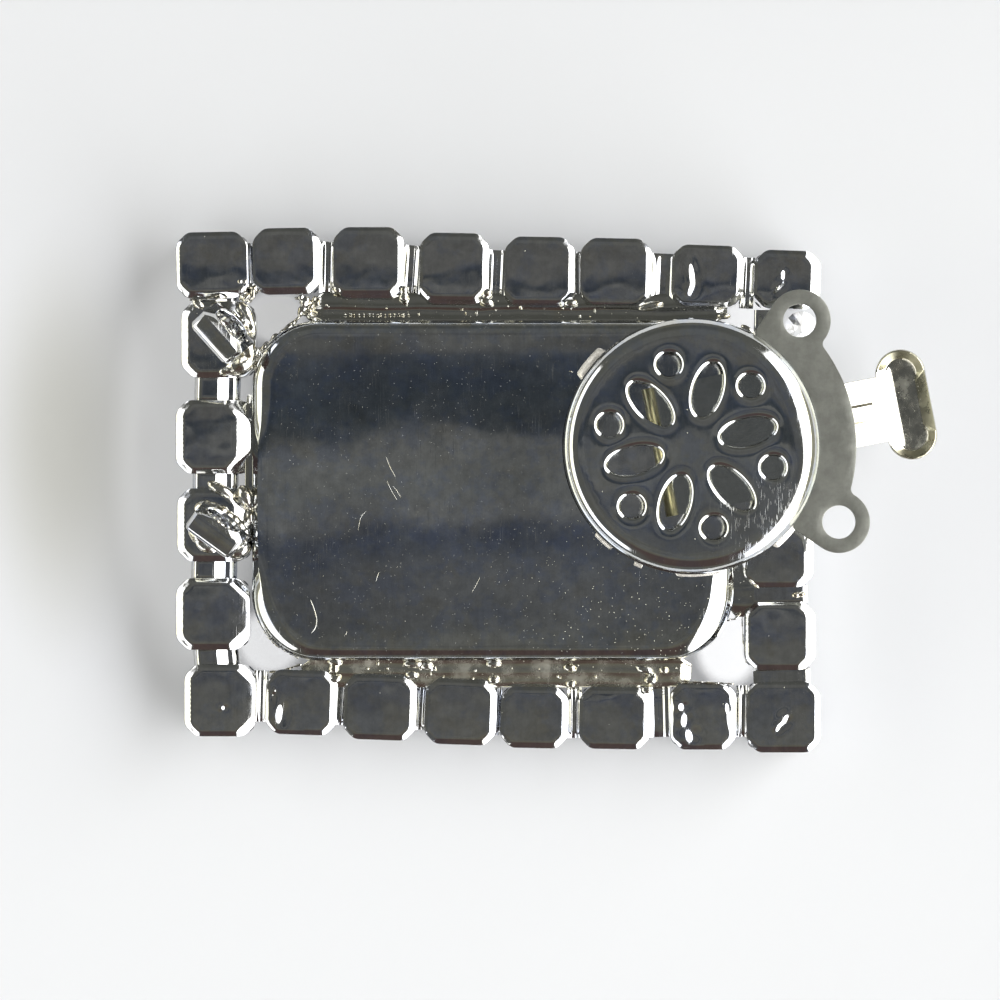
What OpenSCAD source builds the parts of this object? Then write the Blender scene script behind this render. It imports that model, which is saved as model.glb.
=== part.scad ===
// Rhinestone box clasp, seen from its back: a centre setting with a border of
// small square cups, two strand loops on the left, and a round pierced box on
// the right that holds a push-lever tongue with two strand lobes.
// It rests on the front of the centre stone. +X is right, +Y is up in the
// usual view of the back, and +Z points away from the surface it rests on.
// All sizes are in millimetres.

/* [Centre setting] */
// Width of the centre setting
setting_w = 26.3; // [26.1:0.1:26.6]
// Depth of the centre setting
setting_d = 18.6; // [18.4:0.1:18.8]
// Corner radius of the centre setting
setting_r = 3.7; // [3.3:0.1:4.2]
// Height of the setting's back above the resting face
setting_top = 5.2; // [5.1:0.05:5.3]
// Rounding of the setting's back edge
setting_round = 0.75; // [0.4:0.05:0.9]
// Width of the centre stone
stone_w = 25; // [24.5:0.1:25.2]
// Depth of the centre stone
stone_d = 17.4; // [17:0.1:17.6]
// Height of the centre stone from table to culet
stone_h = 4.5; // [4.2:0.1:4.6]

/* [Border cups] */
// Height of the cup backs above the resting face
cup_top = 4.6; // [4.4:0.05:4.7]
// Height of the cups' front rim
cup_rim = 1.2; // [1.1:0.05:1.4]
// Rounding of the cups' back shoulders
cup_round = 0.6; // [0.3:0.05:0.8]
// Size of the cut corners of the cups
cup_cut = 0.75; // [0.4:0.05:0.9]
// Diameter of the border stones
border_stone_d = 2.8; // [2.4:0.1:2.8]
// Width of the links that join the cups
link_w = 1.5; // [1.2:0.1:2]

/* [Strand loops] */
// Bore of the strand loops
loop_bore_d = 2; // [1.8:0.1:2.1]
// Width of the strand loops, across the bore
loop_w = 3.05; // [2.9:0.05:3.1]
// Length of the loops along their bore
loop_len = 1.4; // [1:0.1:1.5]
// Height of the flat top of the loops above the bore's axis
loop_flat = 1.3; // [1.2:0.05:1.4]

/* [Clasp box] */
// Radius of the box wall
box_r = 6.75; // [6.7:0.01:6.8]
// Radius of the pierced lid
lid_r = 6.95; // [6.9:0.01:7]
// Height of the top of the lid above the resting face
lid_top = 8.4; // [8.3:0.05:8.6]
// Thickness of the lid's sheet
lid_t = 0.4; // [0.3:0.05:0.45]
// Half width of the slot for the tongue
slot_half = 3.8; // [3.7:0.05:4]

/* [Tongue and lever] */
// Outer radius of the crescent plate
plate_r = 8.95; // [8.8:0.05:9.1]
// Thickness of the tongue plate
plate_t = 0.5; // [0.4:0.05:0.55]
// Diameter of the strand holes in the lobes
lobe_hole_d = 1.8; // [1.6:0.1:2]
// Outer radius of the lobes
lobe_r = 1.68; // [1.5:0.02:1.8]
// Thickness of the lever's sheet
lever_t = 0.3; // [0.25:0.05:0.35]
// Width of the lever's arm
arm_w = 3.56; // [3.2:0.02:3.8]
// Length of the thumb pad, across the arm
pad_l = 6.1; // [5.6:0.1:6.4]
// Width of the thumb pad, along the arm
pad_w = 2.74; // [2.5:0.02:3]

/* [Hidden] */
$fn = 64;
gap = 0.05;

// Centre of the setting and of the box
setting_at = [-3.45, -0.04];
box_at = [7.33, 2.36];
// Direction of the clasp's axis, anticlockwise from +X
clasp_turn = 11;
// Height of the box's floor and of the top of its wall
floor_top = 5.6;
wall_top = 7.45;
wall_t = 0.4;
// Top of the tongue plate
plate_top = 7.35;
plate_low = plate_top - plate_t;
// Half width of the tongue inside the box, and where its fold lies
tongue_half = 3.55;
fold_u = -1.25;
fold_r = 0.75;
bead_r = 0.32;
fold_z = plate_top - fold_r;
// Lobes stand on this circle, this far either side of the axis
lobe_ring = 9;
lobe_turn = 38.2;
// The lever leaf falls away from the plate at leaf_fall, the arm at arm_fall
leaf_fall = 2.6;
arm_start = 7.7;
arm_fall = 19;
pad_u = 12;
// Pierced pattern of the lid
petal_ring = 3.17;
petal_turn = 14;
petal_l = 3.03;
petal_w = 1.5;
dot_ring = 4.58;
dot_turn = 45.4;
dot_d = 1.3;

// Cups round the border, clockwise from the top left corner.
// Columns: x and y of the centre, width along x, depth along y, turn in degrees
CUPS = [
  [-18.78, 12.28, 3.95, 3.65,  1], [-14.71, 12.50, 3.70, 3.65,  1],
  [-10.23, 12.42, 3.88, 3.90,  0], [ -5.55, 12.10, 3.80, 3.90, -1],
  [ -0.88, 11.90, 3.84, 3.88, -1], [  3.30, 11.93, 3.90, 3.66, -1],
  [  8.30, 11.70, 3.95, 3.36, -2], [ 12.66, 11.50, 3.65, 3.20, -2],
  [ 12.55,  6.05, 3.85, 3.85,  1], [ 12.35,  1.35, 3.85, 3.85,  0],
  [ 12.15, -3.40, 3.90, 3.85,  0], [ 12.26, -7.99, 3.92, 3.72,  0],
  [ 12.45, -12.43, 4.05, 3.88, 0], [  8.05, -12.35, 3.65, 3.72, 0],
  [  3.23, -12.47, 3.90, 3.42, -1], [ -1.17, -12.44, 3.74, 3.38, -1],
  [ -5.20, -12.14, 3.95, 3.60, -2], [ -9.60, -11.88, 4.00, 3.60, -2],
  [-13.90, -11.62, 3.92, 3.55, -2], [-18.37, -11.51, 3.90, 3.95, 0],
  [-18.75, -6.79, 4.04, 3.93, 0], [-18.66, -1.92, 4.10, 4.02, 0],
  [-18.60,  2.89, 4.36, 4.04, 0], [-18.44,  8.22, 4.08, 4.20, 0]
];

// Strand loops. Columns: cup that carries it, turn of its bore from +X,
// tilt of its bore above the horizontal, shift of its centre in x and y
LOOPS = [
  [23, 42, 24, 0.35, 0.34],
  [21, 54, 16, 0.24, -0.23]
];
loop_z = cup_top + 1.35;

// Solder strips between the border and the centre setting.
// Columns: low x, low y, high x, high y, low z, high z
STRIPS = [
  [-12.4,  8.9,  8.6, 10.75, 2.6, 4.25],
  [-12.6, -11.2, 7.2, -9.0,  2.6, 4.2],
  [-17.2, -4.2, -16.2, 5.2,  2.4, 4.3],
  [  9.3, -5.6,  10.9, 6.4,  2.4, 4.2]
];
// Solder pads under the part of the box that overhangs the border
PADS = [[11.3, 5.6], [11.6, 1.4], [11.0, -2.4]];

// A rectangle with cut corners
function octagon(w, d, c) = [
  [-w/2 + c, -d/2], [w/2 - c, -d/2], [w/2, -d/2 + c], [w/2, d/2 - c],
  [w/2 - c, d/2], [-w/2 + c, d/2], [-w/2, d/2 - c], [-w/2, -d/2 + c]];

// A cup's side profile: straight walls and rounded shoulders at the back
function shoulders(w, r) = concat(
  [[-w/2, 0], [w/2, 0]],
  [for (a = [0:22.5:90]) [w/2 - r + r*cos(a), cup_top - r + r*sin(a)]],
  [for (a = [90:22.5:180]) [-w/2 + r + r*cos(a), cup_top - r + r*sin(a)]]);

// An ellipse as a polygon
function ellipse(l, w, n = 48) = [for (i = [0:n - 1]) [l/2*cos(360*i/n), w/2*sin(360*i/n)]];

// Four corner discs of a rounded rectangle, one slice of a loft
module slice(w, d, r, z, t = 0.01) {
  for (x = [-1, 1], y = [-1, 1])
    translate([x*(w/2 - r), y*(d/2 - r), z]) cylinder(r = r, h = t, $fn = 32);
}

// The solid body of one cup, without its cavity
module cup_block(c) {
  translate([c[0], c[1], 0]) rotate(c[4]) intersection() {
    translate([0, 0, cup_rim]) linear_extrude(cup_top - cup_rim + 0.5)
      polygon(octagon(c[2] + 0.06, c[3] + 0.06, cup_cut));
    rotate([90, 0, 0]) linear_extrude(c[3] + 1, center = true)
      polygon(shoulders(c[2], cup_round));
    rotate([90, 0, 90]) linear_extrude(c[2] + 1, center = true)
      polygon(shoulders(c[3], cup_round));
  }
}

stone_r = border_stone_d/2;

// Room for a border stone: a lip round the crown, a groove for the girdle with a
// ledge behind it, and a hollow up to the cup's back sheet
module cup_cavity(c) {
  translate([c[0], c[1], 0]) rotate_extrude($fn = 32) polygon([
    [0, 0.8], [0.62*stone_r + 0.03, 0.8], [stone_r + gap, 1.5 - gap], [stone_r + gap, 1.7 + gap],
    [stone_r - 0.15, 2.05], [stone_r - 0.15, cup_top - 0.4], [0, cup_top - 0.4]]);
}

// A link between two neighbouring cups
module link(a, b) {
  dx = b[0] - a[0];
  dy = b[1] - a[1];
  translate([(a[0] + b[0])/2, (a[1] + b[1])/2, 0]) rotate(atan2(dy, dx))
    translate([-1, -link_w/2, 3.2]) cube([2, link_w, 0.95]);
}

// The centre stone's shape, grown by g
module stone_body(g) {
  hull() {
    slice(stone_w - 8 + 2*g, stone_d - 7.4 + 2*g, 1.2, -g, 0.01);
    slice(stone_w + 2*g, stone_d + 2*g, 3.1, 1.5 - g, 0.4 + 2*g);
    slice(8.5 + 2*g, 3.4 + 2*g, 1, stone_h - 0.01 + g, 0.01);
  }
}

// Turns and moves to the clasp's own axes: u along it, v across it
module clasp() {
  translate([box_at[0], box_at[1], 0]) rotate(clasp_turn) children();
}

// One strand loop's band, about its bore's centre, with the bore along local X
module loop_ring() {
  intersection() {
    rotate([0, 90, 0]) cylinder(r = 1.85, h = loop_len, center = true);
    translate([-2, -loop_w/2, -3]) cube([4, loop_w, 3 + loop_flat]);
  }
}

module loop_place(l) {
  translate([CUPS[l[0]][0] + l[3], CUPS[l[0]][1] + l[4], loop_z]) rotate(l[1]) rotate([0, -l[2], 0])
    children();
}

module soldered_frame() {
  color("silver") difference() {
    union() {
      // back and wall of the centre setting
      translate([setting_at[0], setting_at[1], 0]) hull() {
        slice(setting_w, setting_d, setting_r, 1.15, setting_top - setting_round - 1.15);
        slice(setting_w - 0.6*setting_round, setting_d - 0.6*setting_round,
              setting_r - 0.3*setting_round, setting_top - 0.3*setting_round, 0.01);
        slice(setting_w - 2*setting_round, setting_d - 2*setting_round,
              setting_r - setting_round, setting_top - 0.01, 0.01);
      }
      for (c = CUPS) cup_block(c);
      for (i = [0:23]) link(CUPS[i], CUPS[(i + 1) % 24]);
      for (s = STRIPS) translate([s[0], s[1], s[4]]) cube([s[2] - s[0], s[3] - s[1], s[5] - s[4]]);
      // feet and rings of the strand loops
      for (l = LOOPS) {
        translate([CUPS[l[0]][0] + l[3], CUPS[l[0]][1] + l[4], cup_top - 0.2])
          cylinder(r1 = 1.3, r2 = 0.8, h = 0.4, $fn = 32);
        loop_place(l) loop_ring();
      }
      // floor and wall of the box, and the pads that carry its overhang
      clasp() difference() {
        translate([0, 0, setting_top - 0.1]) cylinder(r = box_r, h = wall_top - setting_top + 0.1, $fn = 96);
        translate([0, 0, floor_top]) cylinder(r = box_r - wall_t, h = 5, $fn = 96);
        translate([4, -slot_half, floor_top + 0.15]) cube([4, 2*slot_half, 5]);
      }
      for (p = PADS) translate([p[0], p[1], cup_top - 0.4]) cylinder(r = 0.9, h = setting_top - cup_top + 0.5, $fn = 32);
    }
    for (c = CUPS) cup_cavity(c);
    // room for the centre stone, and the hollow behind its girdle
    translate([setting_at[0], setting_at[1], 0]) {
      stone_body(gap);
      hull() slice(stone_w - 0.6, stone_d - 0.6, 2.8, 1.9, setting_top - 0.5 - 1.9);
    }
    for (l = LOOPS) loop_place(l)
      rotate([0, 90, 0]) cylinder(d = loop_bore_d, h = loop_len + 0.6, center = true);
  }
}

// The lid: a shallow cap with a rounded edge, pierced with petals and dots
module box_lid() {
  edge = 0.85;
  color("gainsboro") clasp() difference() {
    rotate_extrude($fn = 96) polygon(concat(
      [[0, lid_top - lid_t], [lid_r - edge, lid_top - lid_t]],
      [for (a = [67.5:-22.5:0]) [lid_r - edge + (edge - lid_t)*cos(a), lid_top - edge + (edge - lid_t)*sin(a)]],
      [[lid_r - lid_t, wall_top + 0.03], [lid_r, wall_top + 0.03]],
      [for (a = [0:15:90]) [lid_r - edge + edge*cos(a), lid_top - edge + edge*sin(a)]],
      [[0, lid_top]]));
    for (k = [0:5]) {
      rotate(petal_turn - clasp_turn + 60*k) translate([petal_ring, 0, lid_top - 1])
        linear_extrude(2) polygon(ellipse(petal_l, petal_w));
      rotate(dot_turn - clasp_turn + 60*k) translate([dot_ring, 0, lid_top - 1]) cylinder(d = dot_d, h = 2, $fn = 32);
    }
  }
}

// Outline of the tongue plate: a crescent, its lobes and the tongue
module plate_outline() {
  difference() {
    offset(-0.4) offset(0.4) {
      // the straight ends run out at 45 degrees to meet the lobes
      intersection() {
        circle(r = plate_r, $fn = 128);
        polygon([[4.6, -5.45], [4.6, 5.45], [10, 10.85], [12, 10.85], [12, -10.85], [10, -10.85]]);
      }
      for (s = [-1, 1])
        translate([lobe_ring*cos(lobe_turn), s*lobe_ring*sin(lobe_turn)]) circle(r = lobe_r, $fn = 64);
    }
    circle(r = box_r + 0.1, $fn = 128);
  }
}

module tongue_plate() {
  color("darkkhaki") clasp() difference() {
    union() {
      translate([0, 0, plate_low]) linear_extrude(plate_t) plate_outline();
      translate([fold_u, -tongue_half, plate_low]) cube([box_r + 0.5 - fold_u, 2*tongue_half, plate_t]);
      // rolled end that holds the lever's bead
      difference() {
        translate([fold_u, 0, fold_z]) rotate([90, 0, 0]) cylinder(r = fold_r, h = 2*tongue_half, center = true);
        // mouth of the roll, where the leaf leaves it
        translate([fold_u, -tongue_half - 1, fold_z - 0.52]) cube([2, 2*tongue_half + 2, plate_low - fold_z + 0.52]);
      }
    }
    for (s = [-1, 1]) translate([lobe_ring*cos(lobe_turn), s*lobe_ring*sin(lobe_turn), plate_low - 1])
      cylinder(d = lobe_hole_d, h = plate_t + 2);
    // the bead's bore, a little into the tongue's underside too
    translate([fold_u, 0, fold_z]) rotate([90, 0, 0]) cylinder(r = bead_r + gap, h = 2*tongue_half + 1, center = true);
  }
}

// Drop of the lever's underside line at a distance u along the clasp
leaf_end_z = fold_z - (arm_start - fold_u)*tan(leaf_fall);
arm_end_u = 10.7;
pad_z = leaf_end_z - (arm_end_u - arm_start)*tan(arm_fall);

// A strip of sheet from one point of the lever's side view to the next
module strip(a, b, w, t) {
  translate([a[0], 0, a[1]]) rotate([0, atan2(a[1] - b[1], b[0] - a[0]), 0])
    translate([0, -w/2, -t/2]) cube([norm(b - a), w, t]);
}

module stadium(l, w, h) {
  for (s = [-1, 1]) translate([0, s*(l - w)/2, 0]) cylinder(d = w, h = h);
  translate([-w/2, -(l - w)/2, 0]) cube([w, l - w, h]);
}

module push_lever() {
  color("whitesmoke") clasp() {
    union() {
      // bead in the roll of the tongue plate
      translate([fold_u, 0, fold_z]) rotate([90, 0, 0]) cylinder(r = bead_r, h = 2*tongue_half - 0.1, center = true);
      strip([fold_u, fold_z - 0.1], [arm_start, leaf_end_z], arm_w, lever_t);
      strip([arm_start - 0.03, leaf_end_z + 0.01], [arm_end_u + 0.1, pad_z - 0.03], arm_w, lever_t);
      // stiffening rib along the arm
      strip([arm_start + 0.5, leaf_end_z - 0.5*tan(arm_fall) + 0.12], [10.15, leaf_end_z - (10.15 - arm_start)*tan(arm_fall) + 0.12], 0.92, lever_t);
      // thumb pad: a stadium with a raised rim round a flat floor
      translate([pad_u, 0, pad_z - 0.2]) difference() {
        stadium(pad_l, pad_w, 0.75);
        translate([0, 0, 0.4]) stadium(pad_l - 1, pad_w - 1, 1);
      }
    }
  }
}

module centre_stone() {
  color("lightblue") translate([setting_at[0], setting_at[1], 0]) stone_body(0);
}

// A border stone: octagonal table, round girdle and pointed back
module border_stone(i) {
  color("azure") translate([CUPS[i][0], CUPS[i][1], 0]) hull() {
    translate([0, 0, 0.9]) cylinder(r = 0.62*stone_r, h = 0.01, $fn = 8);
    translate([0, 0, 1.5]) cylinder(r = stone_r, h = 0.2, $fn = 16);
    translate([0, 0, 3.29]) cylinder(r = 0.05, h = 0.01, $fn = 8);
  }
}

// A small stone wedged between two cups under the upper lobe
module gap_stone() {
  color("azure") translate([13.46, 8.96, 0]) hull() {
    translate([0, 0, 2.85]) cylinder(r = 0.5, h = 0.01, $fn = 8);
    translate([0, 0, 3.2]) cylinder(r = 0.84, h = 0.12, $fn = 16);
    translate([0, 0, 4.2]) cylinder(r = 0.03, h = 0.01, $fn = 8);
  }
}

soldered_frame();
box_lid();
tongue_plate();
push_lever();
centre_stone();
gap_stone();
border_stone(0);  // border_stone_01
border_stone(1);  // border_stone_02
border_stone(2);  // border_stone_03
border_stone(3);  // border_stone_04
border_stone(4);  // border_stone_05
border_stone(5);  // border_stone_06
border_stone(6);  // border_stone_07
border_stone(7);  // border_stone_08
border_stone(8);  // border_stone_09
border_stone(9);  // border_stone_10
border_stone(10);  // border_stone_11
border_stone(11);  // border_stone_12
border_stone(12);  // border_stone_13
border_stone(13);  // border_stone_14
border_stone(14);  // border_stone_15
border_stone(15);  // border_stone_16
border_stone(16);  // border_stone_17
border_stone(17);  // border_stone_18
border_stone(18);  // border_stone_19
border_stone(19);  // border_stone_20
border_stone(20);  // border_stone_21
border_stone(21);  // border_stone_22
border_stone(22);  // border_stone_23
border_stone(23);  // border_stone_24
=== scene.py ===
"""Rhinestone box clasp, back up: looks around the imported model."""
import bpy, bmesh, math, random
from mathutils import Vector, Matrix, noise
from mathutils.geometry import delaunay_2d_cdt


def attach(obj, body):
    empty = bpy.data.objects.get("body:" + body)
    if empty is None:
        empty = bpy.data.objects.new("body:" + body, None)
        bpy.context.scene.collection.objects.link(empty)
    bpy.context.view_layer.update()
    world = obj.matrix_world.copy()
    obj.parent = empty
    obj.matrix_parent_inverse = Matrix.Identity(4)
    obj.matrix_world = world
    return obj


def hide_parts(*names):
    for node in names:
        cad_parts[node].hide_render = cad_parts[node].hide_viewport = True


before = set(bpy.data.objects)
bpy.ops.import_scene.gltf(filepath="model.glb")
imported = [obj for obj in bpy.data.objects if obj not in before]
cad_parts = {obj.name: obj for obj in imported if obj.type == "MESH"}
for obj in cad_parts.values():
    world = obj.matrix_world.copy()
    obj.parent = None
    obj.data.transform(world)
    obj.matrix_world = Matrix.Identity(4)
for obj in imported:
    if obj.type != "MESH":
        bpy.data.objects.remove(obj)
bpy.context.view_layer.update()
MM = 0.001
rng = random.Random(7)

# ---------------------------------------------------------------- layout, mm
CUPS = [
    (-18.78, 12.28, 3.95, 3.65, 1), (-14.71, 12.50, 3.70, 3.65, 1),
    (-10.23, 12.42, 3.88, 3.90, 0), (-5.55, 12.10, 3.80, 3.90, -1),
    (-0.88, 11.90, 3.84, 3.88, -1), (3.30, 11.93, 3.90, 3.66, -1),
    (8.30, 11.70, 3.95, 3.36, -2), (12.66, 11.50, 3.65, 3.20, -2),
    (12.55, 6.05, 3.85, 3.85, 1), (12.35, 1.35, 3.85, 3.85, 0),
    (12.15, -3.40, 3.90, 3.85, 0), (12.26, -7.99, 3.92, 3.72, 0),
    (12.45, -12.43, 4.05, 3.88, 0), (8.05, -12.35, 3.65, 3.72, 0),
    (3.23, -12.47, 3.90, 3.42, -1), (-1.17, -12.44, 3.74, 3.38, -1),
    (-5.20, -12.14, 3.95, 3.60, -2), (-9.60, -11.88, 4.00, 3.60, -2),
    (-13.90, -11.62, 3.92, 3.55, -2), (-18.37, -11.51, 3.90, 3.95, 0),
    (-18.75, -6.79, 4.04, 3.93, 0), (-18.66, -1.92, 4.10, 4.02, 0),
    (-18.60, 2.89, 4.36, 4.04, 0), (-18.44, 8.22, 4.08, 4.20, 0)]
# widths of the bevels round each cup's back: left, right, top, bottom
BEVEL = {
    0: (.26, .05, .22, .34), 1: (.03, .36, .20, .32), 2: (.03, .32, .20, .36), 3: (.15, .32, .20, .36),
    4: (.03, .32, .20, .34), 5: (.03, .30, .20, .08), 6: (.15, .34, .18, .20), 7: (.15, .52, .20, .22),
    8: (.20, .45, .24, .26), 9: (.22, .45, .24, .26), 10: (.22, .50, .24, .16), 11: (.32, .52, .20, .20),
    12: (.16, .30, .18, .26), 13: (.22, .34, .20, .20), 14: (.16, .34, .24, .22), 15: (.16, .34, .24, .24),
    16: (.16, .34, .24, .22), 17: (.16, .36, .24, .22), 18: (.18, .38, .20, .20), 19: (.42, .62, .22, .20),
    20: (.44, .70, .24, .28), 21: (.46, 1.05, .28, .28), 22: (.46, 1.15, .24, .26), 23: (.44, 1.10, .28, .26)}
# knocks and solder marks on the cups' backs: pixel x, y, visible length, width in mm, turn
MARKS = [(692, 276, 1.2, .24, 97), (690, 291, .5, .20, 70), (783, 275, .45, .17, 85), (780, 287, .55, .14, 45),
         (785, 720, .62, .26, 48), (778, 728, .40, .18, 48), (681, 707, .34, .26, 100), (684, 720, .60, .28, 80), (689, 736, .62, .34, 115),
         (727, 708, .40, .14, 95), (729, 722, .62, .14, 100), (279, 714, 1.05, .34, 82),
         (274, 693, .14, .14, 0), (223, 708, .22, .16, 90)]
CUP_TOP, CUP_RIM = 4.6, 1.2
SET_AT, SET_W, SET_D, SET_R, SET_TOP = (-3.45, -0.04), 26.3, 18.6, 3.7, 5.2
BOX, TURN = (7.33, 2.36), math.radians(11)
BOX_R, LID_R, LID_TOP = 6.75, 6.95, 8.4
CT, ST = math.cos(TURN), math.sin(TURN)


def clasp(u, v, z=0.0):
    """From the clasp's own axes to the model's."""
    return (BOX[0] + u * CT - v * ST, BOX[1] + u * ST + v * CT, z)


def px(x, y, z):
    """The point at height z that stands at a pixel of the 1000 x 1000 view."""
    s = 18.3 * 345.5 / (350 - z)
    return ((x - 500) / s - 3.044, -(y - 500) / s - 0.557, z)


# ---------------------------------------------------------------- materials
def new_mat(name):
    m = bpy.data.materials.new(name)
    m.use_nodes = True
    nt = m.node_tree
    nt.nodes.clear()
    out = nt.nodes.new("ShaderNodeOutputMaterial")
    bs = nt.nodes.new("ShaderNodeBsdfPrincipled")
    nt.links.new(bs.outputs[0], out.inputs[0])
    return m, nt, bs


class N:
    """Small helper to write node trees."""
    def __init__(self, nt):
        self.nt = nt
        self.tc = nt.nodes.new("ShaderNodeTexCoord")

    def node(self, kind, **kw):
        n = self.nt.nodes.new(kind)
        for k, v in kw.items():
            setattr(n, k, v)
        return n

    def put(self, sock, v):
        if isinstance(v, bpy.types.NodeSocket):
            self.nt.links.new(v, sock)
        else:
            sock.default_value = v

    def coord(self, scale=(1, 1, 1), rot=(0, 0, 0), loc=(0, 0, 0)):
        mp = self.node("ShaderNodeMapping")
        self.nt.links.new(self.tc.outputs["Object"], mp.inputs[0])
        mp.inputs["Scale"].default_value = [1000 * s for s in scale]
        mp.inputs["Rotation"].default_value = rot
        mp.inputs["Location"].default_value = loc
        return mp.outputs[0]

    def noise(self, vec, scale=1.0, detail=3.0, rough=0.55, out="Fac"):
        n = self.node("ShaderNodeTexNoise")
        self.put(n.inputs["Vector"], vec)
        n.inputs["Scale"].default_value = scale
        n.inputs["Detail"].default_value = detail
        n.inputs["Roughness"].default_value = rough
        return n.outputs[out]

    def voronoi(self, vec, scale=1.0, feature="F1"):
        n = self.node("ShaderNodeTexVoronoi", feature=feature)
        self.put(n.inputs["Vector"], vec)
        n.inputs["Scale"].default_value = scale
        return n

    def math(self, op, a, b=0.0, c=0.0, clamp=False):
        n = self.node("ShaderNodeMath", operation=op, use_clamp=clamp)
        self.put(n.inputs[0], a)
        self.put(n.inputs[1], b)
        self.put(n.inputs[2], c)
        return n.outputs[0]

    def step(self, v, lo, hi, a=0.0, b=1.0):
        n = self.node("ShaderNodeMapRange", interpolation_type="SMOOTHSTEP")
        self.put(n.inputs["Value"], v)
        n.inputs["From Min"].default_value = lo
        n.inputs["From Max"].default_value = hi
        n.inputs["To Min"].default_value = a
        n.inputs["To Max"].default_value = b
        return n.outputs[0]

    def mix(self, f, a, b):
        n = self.node("ShaderNodeMix", data_type="RGBA")
        self.put(n.inputs[0], f)
        self.put(n.inputs[6], a)
        self.put(n.inputs[7], b)
        return n.outputs[2]

    def sep(self, vec):
        n = self.node("ShaderNodeSeparateXYZ")
        self.put(n.inputs[0], vec)
        return n.outputs

    def bump(self, h, dist, strength=1.0, normal=None):
        n = self.node("ShaderNodeBump")
        n.inputs["Strength"].default_value = strength
        n.inputs["Distance"].default_value = dist
        self.put(n.inputs["Height"], h)
        if normal is not None:
            self.put(n.inputs["Normal"], normal)
        return n.outputs[0]


def rgba(r, g, b):
    return (r, g, b, 1.0)


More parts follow.
